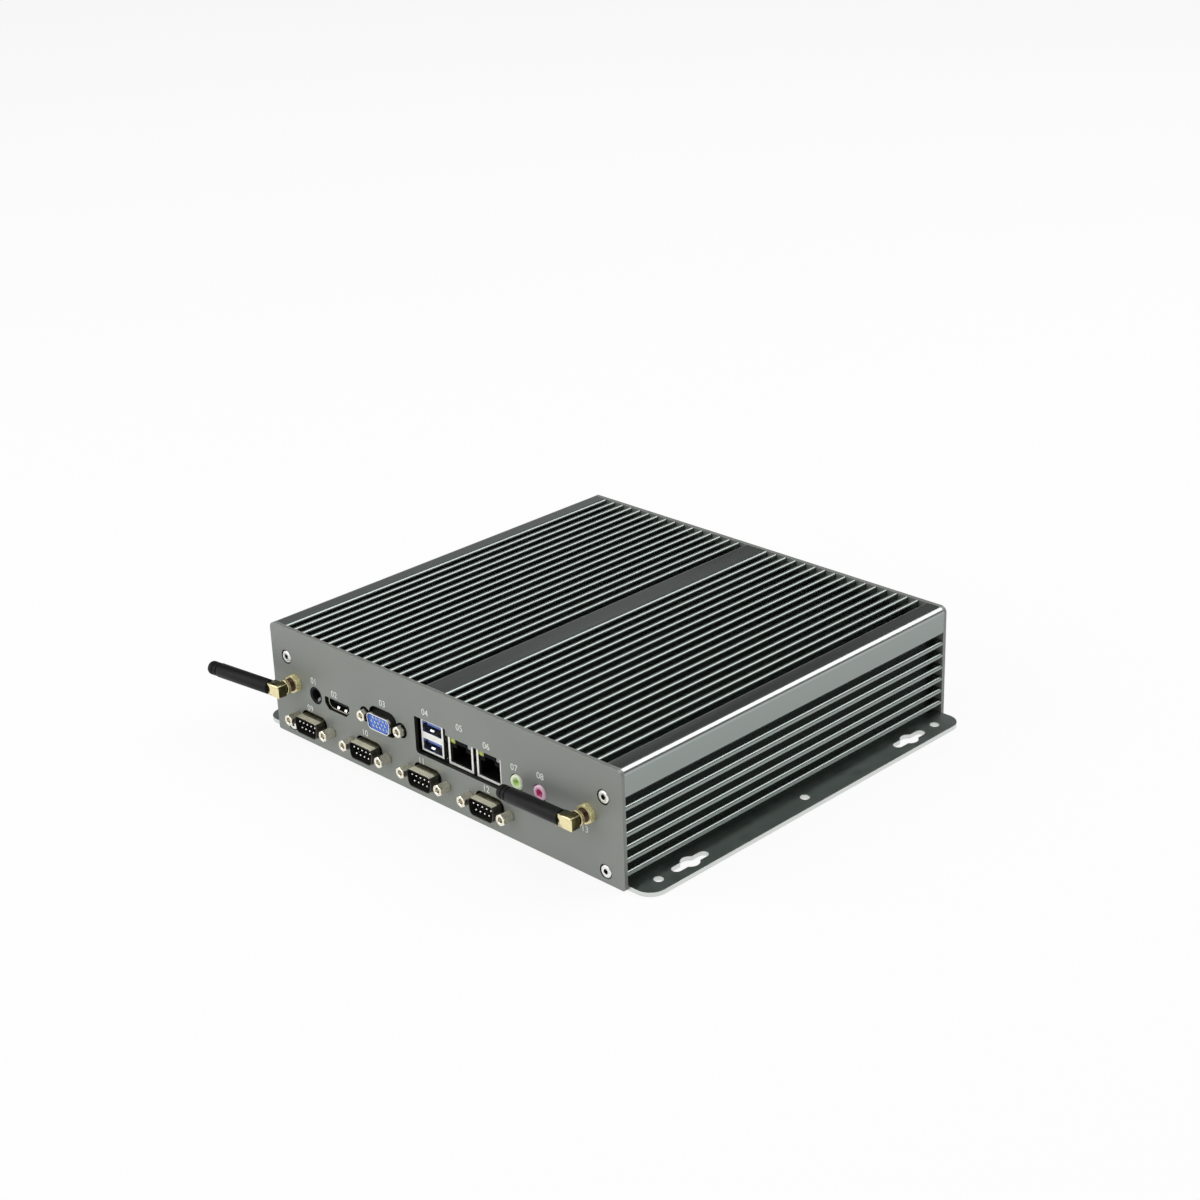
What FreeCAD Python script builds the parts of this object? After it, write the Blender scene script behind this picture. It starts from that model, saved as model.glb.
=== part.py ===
import FreeCAD, Part
import math
import os

Vector = FreeCAD.Vector

# Overall size of the case, in millimetres: X across the panels, Y front to back, Z up
CASE_W = 228.0
CASE_D = 215.0
CASE_H = 55.4
PANEL_T = 2.0
BASE_T = 2.0
FRONT = -CASE_D / 2
REAR = CASE_D / 2
HOUSING_FRONT = FRONT + PANEL_T
HOUSING_REAR = REAR - PANEL_T
EDGE_R = 3.0
PANEL_FOOT_R = 1.0

# Fits between pieces
FIT_GAP = 0.05
HOLE_GAP = 0.1
NOSE_ROOT = 1.0

# Finned housing section
TOP_FINS = 15
TOP_FIN_T = 2.1
TOP_FIN_PITCH = 6.17
TOP_FIN_FIRST = 12.1
TOP_FIN_DEPTH = 8.0
MIDDLE_BAND = 7.0
SIDE_BAND = 103.6
BAND_R = 1.2
SIDE_FINS = 6
SIDE_FIN_T = 2.7
SIDE_FIN_PITCH = 6.03
SIDE_FIN_FIRST = 37.3
SIDE_FIN_DEPTH = 5.0
SIDE_BAND_Z = 42.3
WALL_T = 4.0
PORT_X = 103.3
PORT_TOP_Z = 40.2
PORT_LOW_Z = 5.5
PORT_R = 1.25
PORT_BOSS_R = 2.9
INNER_R = 0.8
CEILING = CASE_H - TOP_FIN_DEPTH - WALL_T
SIDE_VALLEY = CASE_W / 2 - SIDE_FIN_DEPTH
INNER_X = SIDE_VALLEY - WALL_T

# Base plate and its flanges
BASE_W = 254.0
BASE_CORNER_R = 8.0
FLANGE_HOLE_X = 119.5
FLANGE_HOLE_Y = 93.2
FLANGE_HOLE_R = 2.25
KEYHOLE_Y = 74.1
KEYHOLE_LENGTH = 21.0
KEYHOLE_R = 2.3
KEYHOLE_HEAD_R = 4.3
BASE_SCREW_X = 106.7
BASE_SCREW_Y = 80.0
BASE_SCREW_HEAD_R = 2.9
BASE_SCREW_END = 7.0

# M3 fasteners
M3_CLEAR_R = 1.7
M3_HEAD_R = 3.0
M3_HEAD_H = 1.6
M3_RECESS_R = 3.5
M3_RECESS_DEPTH = 1.4
PANEL_SCREW_LENGTH = 9.0

# Main board
BOARD_TOP = 21.4
BOARD_T = 1.6
BOARD_SIZE = 170.0
BOARD_CORNER_R = 1.5
BOARD_LEFT = -93.0
BOARD_FRONT = FRONT + 3.0
STANDOFF_AF = 5.5
STANDOFF_X = (-87.0, 71.0)
STANDOFF_Y = (-80.0, 58.0)

# Pieces on the main board
HEAT_X, HEAT_Y = 10.0, -30.0
HEAT_W, HEAT_D = 62.0, 56.0
HEAT_RAIL = 9.0
PROCESSOR_SIZE = 31.0
PROCESSOR_BASE, PROCESSOR_H = 1.0, 1.8
LID_INSET = 4.0
MEMORY_X, MEMORY_Y = -45.0, 4.0
MEMORY_SIZE = (67.6, 30.0)
MEMORY_Z = BOARD_TOP + 3.0
MEMORY_T = 1.0
MEMORY_CHIP = (11.0, 12.0, 1.1)
MEMORY_CHIPS, MEMORY_CHIP_PITCH, MEMORY_CHIP_Y = 4, 15.5, 16.0
MEMORY_BAR = (69.6, 8.0, 5.2)
MEMORY_ARM = (2.4, 30.0, 4.6)
CARD_Z = BOARD_TOP + 2.6
CARD_T = 1.0
CARD_CHIP_T = 1.2
CARD_SOCKET = (31.0, 8.0)
STORAGE_X, STORAGE_Y = 45.0, 30.0
STORAGE_SIZE = (30.0, 51.0)
STORAGE_CHIP = (18.0, 24.0, 8.0)
WIRELESS_X, WIRELESS_Y = -73.0, -70.5
WIRELESS_SIZE = (30.0, 27.0)
WIRELESS_CHIP = (20.0, 12.0, 1.0)

# Coaxial leads of the antennas
LEAD_R = 0.65
LEAD_BEND = 5.0
LEAD_PLUG, LEAD_PLUG_H = 2.6, 1.6
PLUG_SHIFT = 6.0
PLUG_Y = WIRELESS_Y - 9.5
PLUG_Z = CARD_Z + CARD_T + LEAD_PLUG_H / 2

# Front sockets: middle positions on the panel
DC_X, DC_Z = -83.3, 26.5
DIGITAL_X, DIGITAL_Z = -68.0, 25.5
VIDEO_X, VIDEO_Z = -35.4, 28.6
USB_X, USB_Z = -4.5, 30.0
NETWORK_X = (14.0, 32.2)
AUDIO_X = (51.6, 65.6)
AUDIO_Z = 28.7
SERIAL_X = (-86.0, -46.6, -6.6, 33.6)
SERIAL_Z = 10.9
ANTENNA_PLACES = {"left": (-98.1, 28.5), "right": (94.1, 29.8)}

# Power inlet
DC_HOLE_R = 4.3
DC_NOSE_R = 4.0
DC_BORE_R = 3.2
DC_BORE_DEPTH = 9.5
DC_SETBACK = 0.3
DC_PIN_R, DC_PIN_SETBACK = 1.0, 3.8
DC_BODY = (9.0, 13.5, 10.8)

# Digital video socket, wide side up
DIGITAL_WINDOW = (17.5, 6.2)
DIGITAL_W, DIGITAL_H = 15.0, 5.2
DIGITAL_CHAMFER = 2.2
DIGITAL_CORNER_R = 0.6
DIGITAL_WALL = 0.4
DIGITAL_SETBACK, DIGITAL_DEPTH = 1.3, 11.5
DIGITAL_FOOT, DIGITAL_FOOT_Y = (8.0, 1.0), (4.0, 11.3)
DIGITAL_TONGUE, DIGITAL_TONGUE_RISE, DIGITAL_TONGUE_SETBACK = (11.4, 1.1), 0.3, 2.8
DIGITAL_BLOCK = 4.0

# D-shaped sockets: pitch of the jackscrews, flange and shell outline
JACK_PITCH = 24.99
D_SLOPE = math.radians(10)
D_CORNER_R = 2.4
D_WALL = 0.4
FLANGE_W, FLANGE_H, FLANGE_T = 29.6, 12.5, 0.8
FLANGE_CUT = 2.6
SERIAL_SHELL = (17.0, 8.4)
SERIAL_REACH = 5.5
SERIAL_WINDOW_GAP = 1.2
SERIAL_BODY = (19.0, 10.6)
SERIAL_FACE = 0.3
SERIAL_BOARD_Y, SERIAL_BOARD_Z, SERIAL_BOARD_MARGIN = 8.0, (4.2, 17.8), 3.0
HEADER_X, HEADER_DEPTH, HEADER_Z = (-40.0, 12.0), 5.0, 11.0
VIDEO_SHELL = (16.4, 7.9)
VIDEO_REACH = 3.0
VIDEO_SETBACK = 3.0
VIDEO_WINDOW_GAP = 2.3
VIDEO_LUG_R = 3.7
VIDEO_FACE, VIDEO_BODY = 0.5, 9.0
JACK_AF = 5.0
JACK_LENGTH = 6.0
JACK_BORE_R = 1.3
JACK_BORE_DEPTH = 4.5
PIN_R = 0.5
PIN_PITCH = 2.77
PIN_ROW = 1.42
PIN_SETBACK, PIN_ROOT = 0.8, 1.0

# Stacked serial bus sockets and the two network sockets behind one stepped window
WINDOW_LEFT, WINDOW_STEP, WINDOW_RIGHT = -13.5, 7.0, 42.0
WINDOW_LOW, WINDOW_MID, WINDOW_TOP = 21.0, 36.1, 39.0
WINDOW_R, WINDOW_FOOT_R = 0.6, 1.8
SOCKET_SETBACK = 2.2
USB_W, USB_H, USB_DEPTH = 14.6, 15.8, 17.5
USB_PORT_W, USB_PORT_H, USB_PORT_PITCH = 12.4, 5.4, 8.6
USB_TONGUE, USB_TONGUE_RISE = (10.8, 8.9, 1.9), 0.9
USB_PORT_DEPTH, USB_SKIRT = 11.0, 2.0
NETWORK_W, NETWORK_H, NETWORK_DEPTH = 16.0, 13.5, 21.0
NETWORK_FRAME, NETWORK_WALL = 1.2, 0.5
NETWORK_LINING_SETBACK = 0.5
NETWORK_CAVITY = (11.8, 6.8, 12.0)
LATCH_W, LATCH_H = 6.2, 2.2
LIGHT_W, LIGHT_H, LIGHT_DEPTH, LIGHT_SETBACK = 3.0, 2.6, 8.0, 0.3

# Audio jacks
AUDIO_HOLE_R = 4.0
AUDIO_NOSE_R = 3.5
AUDIO_NOSE_PROUD = 0.3
AUDIO_BORE_R, AUDIO_FLOOR = 1.8, 1.5
AUDIO_BODY = (11.0, 12.0, 13.2)

# Stub antennas: distances forward of the panel's face
ANTENNA_BARREL_R = 3.15
ANTENNA_BORE_R, ANTENNA_BORE_END = 1.55, 1.0
ANTENNA_NUT_AF, ANTENNA_NUT_T = 8.3, 2.7
ANTENNA_FLANGE_R, ANTENNA_FLANGE_T = 4.5, 4.0
SOCKET_TAIL = FRONT + PANEL_T + ANTENNA_FLANGE_T
COUPLER_R, COUPLER_FROM, COUPLER_TO = 3.6, 5.2, 6.9
BARREL_END = COUPLER_TO - 0.3
HUB_R, HUB_FROM, HUB_TO = 3.0, 7.2, 7.5
ELBOW_SIZE, ELBOW_DEPTH, ELBOW_ARM = 6.2, 5.2, 5.0
ELBOW_MIDDLE = HUB_TO + ELBOW_DEPTH / 2
ELBOW_CHAMFER = 0.4
PIN_END = 2.5
ROD_REACH = 45.5
ROD_R, ROD_TIP_R, ROD_START = 3.5, 3.3, 0.5
ROD_SPIGOT_R, ROD_SPIGOT = 2.0, 2.5
ROD_GROOVE, ROD_GROOVE_W = 0.4, 0.8
ROD_TIP_CHAMFER = 1.4
ROD_GROOVES = (ROD_REACH - 6.4, ROD_REACH - 4.0)
LEFT_LEAN = (-47.8, -5.0, -0.5)
RIGHT_LEAN = (-47.6, 3.3, -3.3)

# Rear push button
BUTTON_X, BUTTON_Z = -85.0, 28.0
BUTTON_BARREL_R, BUTTON_BEZEL_R, BUTTON_BEZEL_T = 5.95, 7.5, 1.6
BUTTON_CAP_R, BUTTON_CAP_GAP = 4.3, 0.1
BUTTON_PROUD = 0.9
BUTTON_BORE_DEPTH = 8.0
BUTTON_CAP_LENGTH = 5.5
BUTTON_BARREL = 18.0
BUTTON_NUT_AF, BUTTON_NUT_T = 14.0, 2.5
BEZEL_CHAMFER, CAP_CHAMFER = 0.5, 0.4
PLUG_X, POWER_Y = -70.0, 60.0
POWER_LEAD_R = 1.1
POWER_PLUG = (6.0, 5.0)
POWER_PLUG_RISE = 1.5


def at_front(depth):
    """Y of a place so far behind the front panel's face."""
    return FRONT + depth


def box(x0, x1, y0, y1, z0, z1):
    """Box between two corners."""
    return Part.makeBox(x1 - x0, y1 - y0, z1 - z0, Vector(x0, y0, z0))


def block(x, z, width, height, y0, y1):
    """Box with its middle at x, z, running front to back."""
    return box(x - width / 2, x + width / 2, y0, y1, z - height / 2, z + height / 2)


def block_z(x, y, width, depth, z0, z1):
    """Box with its middle at x, y, standing up."""
    return box(x - width / 2, x + width / 2, y - depth / 2, y + depth / 2, z0, z1)


def rod_y(x, z, radius, y0, y1):
    """Cylinder running front to back."""
    return Part.makeCylinder(radius, y1 - y0, Vector(x, y0, z), Vector(0, 1, 0))


def rod_z(x, y, radius, z0, z1):
    """Upright cylinder."""
    return Part.makeCylinder(radius, z1 - z0, Vector(x, y, z0))


def outline(corners, place):
    """Closed wire through corners (u, v, radius), with a tangent arc at each corner that has a radius."""
    spans = []
    for i, (u, v, radius) in enumerate(corners):
        here = place(u, v)
        back = place(*corners[i - 1][:2]) - here
        ahead = place(*corners[(i + 1) % len(corners)][:2]) - here
        if radius == 0:
            spans.append((here, None, here))
            continue
        back.normalize()
        ahead.normalize()
        half = back.getAngle(ahead) / 2
        inward = (back + ahead).normalize()
        run = radius / math.tan(half)
        middle = here + inward * (radius / math.sin(half) - radius)
        spans.append((here + back * run, middle, here + ahead * run))
    edges = []
    for i, (start, middle, end) in enumerate(spans):
        before = spans[i - 1][2]
        if before.distanceToPoint(start) > 1e-5:
            edges.append(Part.LineSegment(before, start).toShape())
        if middle is not None:
            edges.append(Part.Arc(start, middle, end).toShape())
    return Part.Wire(edges)


def prism_y(corners, y0, y1):
    """Solid with an X-Z outline, running front to back."""
    face = Part.Face(outline(corners, lambda u, v: Vector(u, y0, v)))
    return face.extrude(Vector(0, y1 - y0, 0))


def prism_z(corners, z0, z1):
    """Solid with an X-Y outline, standing up."""
    face = Part.Face(outline(corners, lambda u, v: Vector(u, v, z0)))
    return face.extrude(Vector(0, 0, z1 - z0))


def rectangle(u, v, width, height, radius):
    """Corners of a rounded rectangle about u, v."""
    a, b = width / 2, height / 2
    return [(u - a, v - b, radius), (u + a, v - b, radius), (u + a, v + b, radius), (u - a, v + b, radius)]


def cut_rectangle(u, v, width, height, cut):
    """Corners of a rectangle about u, v with its corners cut off."""
    a, b = width / 2, height / 2
    corners = []
    for i, j in ((-1, -1), (1, -1), (1, 1), (-1, 1)):
        on_side = (u + i * a, v + j * (b - cut), 0)
        on_end = (u + i * (a - cut), v + j * b, 0)
        corners += [on_side, on_end] if i == j else [on_end, on_side]
    return corners


def hexagon_y(x, z, across_flats, y0, y1):
    """Hexagonal bar running front to back, with a corner up."""
    reach = across_flats / math.sqrt(3)
    turns = [math.radians(90 + 60 * i) for i in range(6)]
    corners = [(x + reach * math.cos(a), z + reach * math.sin(a), 0) for a in turns]
    return prism_y(corners, y0, y1)


def d_shape(x, z, size, grow=0.0):
    """Corners of a D-shaped outline with its wide side up, grown outwards by a distance."""
    half_w, half_h = size[0] / 2 + grow, size[1] / 2 + grow
    low_w = half_w - 2 * half_h * math.tan(D_SLOPE)
    radius = max(D_CORNER_R + grow, 0.5)
    return [
        (x - low_w, z - half_h, radius),
        (x + low_w, z - half_h, radius),
        (x + half_w, z + half_h, radius),
        (x - half_w, z + half_h, radius),
    ]


def tube(points, radius):
    """Round lead along straight runs joined by tangent arcs."""
    spots = [Vector(*p) for p in points]
    edges = []
    before = spots[0]
    for i in range(1, len(spots) - 1):
        here = spots[i]
        back = spots[i - 1] - here
        ahead = spots[i + 1] - here
        back.normalize()
        ahead.normalize()
        half = back.getAngle(ahead) / 2
        run = LEAD_BEND / math.tan(half)
        inward = (back + ahead).normalize()
        start, end = here + back * run, here + ahead * run
        middle = here + inward * (LEAD_BEND / math.sin(half) - LEAD_BEND)
        edges.append(Part.LineSegment(before, start).toShape())
        edges.append(Part.Arc(start, middle, end).toShape())
        before = end
    edges.append(Part.LineSegment(before, spots[-1]).toShape())
    path = Part.Wire(edges)
    circle = Part.Wire(Part.makeCircle(radius, spots[0], spots[1] - spots[0]))
    return path.makePipe(Part.Face(circle))


def fin_row(count, first, pitch, thickness, tip, root, place):
    """Corners of a row of round-tipped fins: root, tip, tip, root for each."""
    corners = []
    for i in range(count):
        near = first + i * pitch - thickness / 2
        far = near + thickness
        for along, across, radius in ((near, root, 0), (near, tip, thickness / 2),
                                      (far, tip, thickness / 2), (far, root, 0)):
            corners.append(place(along, across) + (radius,))
    return corners


def housing_section():
    """Corners of the whole extruded section: fins outside, screw ports and feet inside."""
    valley = CASE_H - TOP_FIN_DEPTH
    half_w = CASE_W / 2
    foot_x = PORT_X - PORT_BOSS_R
    boss_z = PORT_TOP_Z - PORT_BOSS_R
    right = [(MIDDLE_BAND, CASE_H, BAND_R), (MIDDLE_BAND, valley, 0)]
    right += fin_row(TOP_FINS, TOP_FIN_FIRST, TOP_FIN_PITCH, TOP_FIN_T, CASE_H, valley,
                     lambda along, across: (along, across))
    right += [(SIDE_BAND, valley, 0), (SIDE_BAND, CASE_H, BAND_R), (half_w, CASE_H, EDGE_R)]
    right += [(half_w, SIDE_BAND_Z, BAND_R), (SIDE_VALLEY, SIDE_BAND_Z, 0)]
    right += fin_row(SIDE_FINS, -SIDE_FIN_FIRST, SIDE_FIN_PITCH, SIDE_FIN_T, half_w, SIDE_VALLEY,
                     lambda along, across: (across, -along))
    right += [(SIDE_VALLEY, BASE_T, 0), (foot_x, BASE_T, 0)]
    right += [(foot_x, PORT_LOW_Z + PORT_BOSS_R, PORT_BOSS_R), (INNER_X, PORT_LOW_Z + PORT_BOSS_R, INNER_R)]
    right += [(INNER_X, boss_z, INNER_R), (foot_x, boss_z, PORT_BOSS_R), (foot_x, CEILING, INNER_R)]
    left = [(-u, v, radius) for u, v, radius in reversed(right)]
    return right + left


def port_places():
    """Middle points of the four screw ports."""
    return [(side * PORT_X, z) for side in (-1, 1) for z in (PORT_LOW_Z, PORT_TOP_Z)]


def base_screw_places():
    """Middle points of the screws that hold the base plate to the housing's feet."""
    return [(side * BASE_SCREW_X, row * BASE_SCREW_Y) for side in (-1, 1) for row in (-1, 0, 1)]


def housing():
    """Finned extrusion with screw ports along its length and tapped holes in its feet."""
    body = prism_y(housing_section(), HOUSING_FRONT, HOUSING_REAR)
    holes = [rod_y(x, z, PORT_R, HOUSING_FRONT, HOUSING_REAR) for x, z in port_places()]
    holes += [rod_z(x, y, PORT_R, BASE_T, BASE_SCREW_END) for x, y in base_screw_places()]
    return body.cut(holes)


def panel_blank(y0, y1):
    """End panel with rounded top corners."""
    half_w = CASE_W / 2
    corners = [(-half_w, 0, PANEL_FOOT_R), (half_w, 0, PANEL_FOOT_R),
               (half_w, CASE_H, EDGE_R), (-half_w, CASE_H, EDGE_R)]
    return prism_y(corners, y0, y1)


def panel_screw_holes(y0, y1, outer):
    """Clearance holes with a round recess for each head on the panel's outer face."""
    recess = sorted((outer, outer + math.copysign(M3_RECESS_DEPTH, -outer)))
    holes = [rod_y(x, z, M3_CLEAR_R, y0, y1) for x, z in port_places()]
    holes += [rod_y(x, z, M3_RECESS_R, *recess) for x, z in port_places()]
    return holes


def socket_window(y0, y1):
    """Stepped window round the stacked sockets and both network sockets."""
    corners = [(WINDOW_LEFT, WINDOW_LOW, WINDOW_FOOT_R), (WINDOW_RIGHT, WINDOW_LOW, WINDOW_R),
               (WINDOW_RIGHT, WINDOW_MID, WINDOW_R), (WINDOW_STEP, WINDOW_MID, WINDOW_R),
               (WINDOW_STEP, WINDOW_TOP, WINDOW_R), (WINDOW_LEFT, WINDOW_TOP, WINDOW_R)]
    return prism_y(corners, y0, y1)


def front_panel():
    """Socket panel."""
    y0, y1 = FRONT, HOUSING_FRONT
    holes = panel_screw_holes(y0, y1, FRONT)
    holes.append(rod_y(DC_X, DC_Z, DC_HOLE_R, y0, y1))
    holes.append(prism_y(digital_outline(*DIGITAL_WINDOW), y0, y1))
    holes.append(prism_y(d_shape(VIDEO_X, VIDEO_Z, VIDEO_SHELL, VIDEO_WINDOW_GAP), y0, y1))
    holes += [rod_y(x, VIDEO_Z, VIDEO_LUG_R, y0, y1) for x in jack_places(VIDEO_X)]
    holes.append(socket_window(y0, y1))
    holes += [rod_y(x, AUDIO_Z, AUDIO_HOLE_R, y0, y1) for x in AUDIO_X]
    for x in SERIAL_X:
        holes.append(prism_y(d_shape(x, SERIAL_Z, SERIAL_SHELL, SERIAL_WINDOW_GAP), y0, y1))
    holes += [rod_y(x, z, ANTENNA_BARREL_R + FIT_GAP, y0, y1) for x, z in ANTENNA_PLACES.values()]
    return panel_blank(y0, y1).cut(holes)


def rear_panel():
    """Plain panel with the push button's hole."""
    y0, y1 = HOUSING_REAR, REAR
    holes = panel_screw_holes(y0, y1, REAR)
    holes.append(rod_y(BUTTON_X, BUTTON_Z, BUTTON_BARREL_R + HOLE_GAP, y0, y1))
    return panel_blank(y0, y1).cut(holes)


def keyhole(x, y):
    """Double-ended keyhole slot running front to back."""
    width = 2 * KEYHOLE_R
    slot = prism_z(rectangle(x, y, width, KEYHOLE_LENGTH, KEYHOLE_R - 1e-4), 0, BASE_T)
    return slot.fuse(rod_z(x, y, KEYHOLE_HEAD_R, 0, BASE_T))


def countersunk_form(x, y, grow):
    """Upright screw form with its flat head at the plate's underside, made larger all round for its hole."""
    shank = PORT_R + grow
    head = BASE_SCREW_HEAD_R + grow
    cone = Part.makeCone(head, shank, head - shank, Vector(x, y, 0))
    return cone.fuse(rod_z(x, y, shank, 0, BASE_SCREW_END)).removeSplitter()


def base_plate():
    """Flat plate whose sides stand out as mounting flanges."""
    length = HOUSING_REAR - HOUSING_FRONT
    plate = prism_z(rectangle(0, 0, BASE_W, length, BASE_CORNER_R), 0, BASE_T)
    holes = [keyhole(side * FLANGE_HOLE_X, end * KEYHOLE_Y) for side in (-1, 1) for end in (-1, 1)]
    for side in (-1, 1):
        for row in (-1, 0, 1):
            holes.append(rod_z(side * FLANGE_HOLE_X, row * FLANGE_HOLE_Y, FLANGE_HOLE_R, 0, BASE_T))
    holes += [countersunk_form(x, y, FIT_GAP) for x, y in base_screw_places()]
    return plate.cut(holes)


def base_screws():
    """Countersunk screws from below, through the base plate into the housing's feet."""
    return Part.makeCompound([countersunk_form(x, y, 0) for x, y in base_screw_places()])


def panel_screw(x, z, face, inward):
    """Low-headed screw in the panel's recess, its shank in the housing's port."""
    head_face = face - inward * (M3_HEAD_H - M3_RECESS_DEPTH)
    seat = face + inward * M3_RECESS_DEPTH
    end = seat + inward * PANEL_SCREW_LENGTH
    head = rod_y(x, z, M3_HEAD_R, *sorted((head_face, seat)))
    return head.fuse(rod_y(x, z, PORT_R, *sorted((seat, end)))).removeSplitter()


def panel_screws():
    """All screws of both panels."""
    front = [panel_screw(x, z, FRONT, 1) for x, z in port_places()]
    rear = [panel_screw(x, z, REAR, -1) for x, z in port_places()]
    return Part.makeCompound(front + rear)


def dc_inlet_body():
    """Moulded inlet with a round nose in the panel's hole."""
    width, depth, height = DC_BODY
    back = at_front(PANEL_T + depth)
    body = box(DC_X - width / 2, DC_X + width / 2, at_front(PANEL_T), back, BOARD_TOP, BOARD_TOP + height)
    nose = rod_y(DC_X, DC_Z, DC_NOSE_R, at_front(DC_SETBACK), at_front(PANEL_T + NOSE_ROOT))
    bore = rod_y(DC_X, DC_Z, DC_BORE_R, at_front(0), at_front(DC_BORE_DEPTH))
    return body.fuse(nose).cut(bore).removeSplitter()


def dc_inlet_pin():
    """Centre pin standing on the bore's floor."""
    return rod_y(DC_X, DC_Z, DC_PIN_R, at_front(DC_PIN_SETBACK), at_front(DC_BORE_DEPTH))


def digital_outline(width, height):
    """Corners of the wide socket outline with both lower corners cut off."""
    a, b = width / 2, height / 2
    cut = DIGITAL_CHAMFER * height / DIGITAL_H
    places = [(cut - a, -b), (a - cut, -b), (a, cut - b), (a, b), (-a, b), (-a, cut - b)]
    return [(DIGITAL_X + u, DIGITAL_Z + v, DIGITAL_CORNER_R) for u, v in places]


def digital_video_shell():
    """Folded metal shell on two feet."""
    y0 = at_front(DIGITAL_SETBACK)
    y1 = y0 + DIGITAL_DEPTH
    shell = prism_y(digital_outline(DIGITAL_W, DIGITAL_H), y0, y1)
    inner = prism_y(digital_outline(DIGITAL_W - 2 * DIGITAL_WALL, DIGITAL_H - 2 * DIGITAL_WALL), y0, y1)
    foot_w, foot_t = DIGITAL_FOOT
    foot_top = DIGITAL_Z - DIGITAL_H / 2 + DIGITAL_WALL / 2
    x0, x1 = DIGITAL_X - foot_w / 2, DIGITAL_X + foot_w / 2
    feet = [box(x0, x1, at_front(y), at_front(y) + foot_t, BOARD_TOP, foot_top) for y in DIGITAL_FOOT_Y]
    return shell.fuse(feet).cut(inner).removeSplitter()


def digital_video_tongue():
    """Insulator at the shell's back with the contact tongue."""
    y1 = at_front(DIGITAL_SETBACK) + DIGITAL_DEPTH
    around = 2 * (DIGITAL_WALL + FIT_GAP)
    back = prism_y(digital_outline(DIGITAL_W - around, DIGITAL_H - around), y1 - DIGITAL_BLOCK, y1)
    tongue_y = at_front(DIGITAL_TONGUE_SETBACK)
    tongue = block(DIGITAL_X, DIGITAL_Z + DIGITAL_TONGUE_RISE, *DIGITAL_TONGUE, tongue_y, y1)
    return back.fuse(tongue).removeSplitter()


def jack_places(x):
    """X of the two jackscrews of a D-shaped socket."""
    return (x - JACK_PITCH / 2, x + JACK_PITCH / 2)


def d_shell(x, z, size, reach, setback):
    """D-shaped metal shell standing forward of a flange with cut corners."""
    y_flange = at_front(setback)
    y_back = y_flange + FLANGE_T
    flange = prism_y(cut_rectangle(x, z, FLANGE_W, FLANGE_H, FLANGE_CUT), y_flange, y_back)
    shell = prism_y(d_shape(x, z, size), at_front(-reach), y_back)
    inner = prism_y(d_shape(x, z, size, -D_WALL), at_front(-reach), y_back)
    return flange.fuse(shell).cut(inner).removeSplitter()


def serial_shell(x):
    """Shell of a nine-pin plug socket, its flange behind the panel."""
    return d_shell(x, SERIAL_Z, SERIAL_SHELL, SERIAL_REACH, PANEL_T)


def serial_insert(x):
    """Insulator filling the shell's back, with a block behind the flange."""
    y_back = at_front(PANEL_T) + FLANGE_T
    front = prism_y(d_shape(x, SERIAL_Z, SERIAL_SHELL, -D_WALL - FIT_GAP), at_front(-SERIAL_FACE), y_back)
    back = block(x, SERIAL_Z, *SERIAL_BODY, y_back, at_front(SERIAL_BOARD_Y))
    return front.fuse(back).removeSplitter()


def serial_pin_places(x):
    """Five pins in the upper row and four below."""
    upper = [(x + (i - 2) * PIN_PITCH, SERIAL_Z + PIN_ROW) for i in range(5)]
    lower = [(x + (i - 1.5) * PIN_PITCH, SERIAL_Z - PIN_ROW) for i in range(4)]
    return upper + lower


def serial_pins():
    """All contact pins, rooted in the insulators."""
    places = [spot for x in SERIAL_X for spot in serial_pin_places(x)]
    y0, y1 = at_front(PIN_SETBACK - SERIAL_REACH), at_front(PIN_ROOT)
    pins = [hexagon_y(x, z, 2 * PIN_R, y0, y1) for x, z in places]
    return Part.makeCompound(pins)


def jackscrew(x, z, seat):
    """Hexagonal post with a tapped bore at its front."""
    post = hexagon_y(x, z, JACK_AF, seat - JACK_LENGTH, seat)
    return post.cut(rod_y(x, z, JACK_BORE_R, seat - JACK_LENGTH, seat - JACK_LENGTH + JACK_BORE_DEPTH))


def jackscrews():
    """Jackscrews of the four serial sockets and the video socket."""
    posts = [jackscrew(j, SERIAL_Z, at_front(0)) for x in SERIAL_X for j in jack_places(x)]
    posts += [jackscrew(j, VIDEO_Z, at_front(VIDEO_SETBACK)) for j in jack_places(VIDEO_X)]
    return Part.makeCompound(posts)


def video_shell():
    """Shell of the video socket, its flange set back behind the panel's window."""
    return d_shell(VIDEO_X, VIDEO_Z, VIDEO_SHELL, VIDEO_REACH, VIDEO_SETBACK)


def video_insert():
    """Coloured insulator: D-shaped face in the shell and a body on the board."""
    back = at_front(VIDEO_SETBACK) + FLANGE_T
    outline_in = d_shape(VIDEO_X, VIDEO_Z, VIDEO_SHELL, -D_WALL - FIT_GAP)
    face = prism_y(outline_in, at_front(VIDEO_FACE - VIDEO_REACH), back)
    body = box(VIDEO_X - FLANGE_W / 2, VIDEO_X + FLANGE_W / 2, back, back + VIDEO_BODY,
               BOARD_TOP, VIDEO_Z + FLANGE_H / 2)
    return face.fuse(body).removeSplitter()


def usb_ports(width, height, y0, y1):
    """Two stacked port openings."""
    return [block(USB_X, USB_Z + side * USB_PORT_PITCH / 2, width, height, y0, y1) for side in (-1, 1)]


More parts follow.
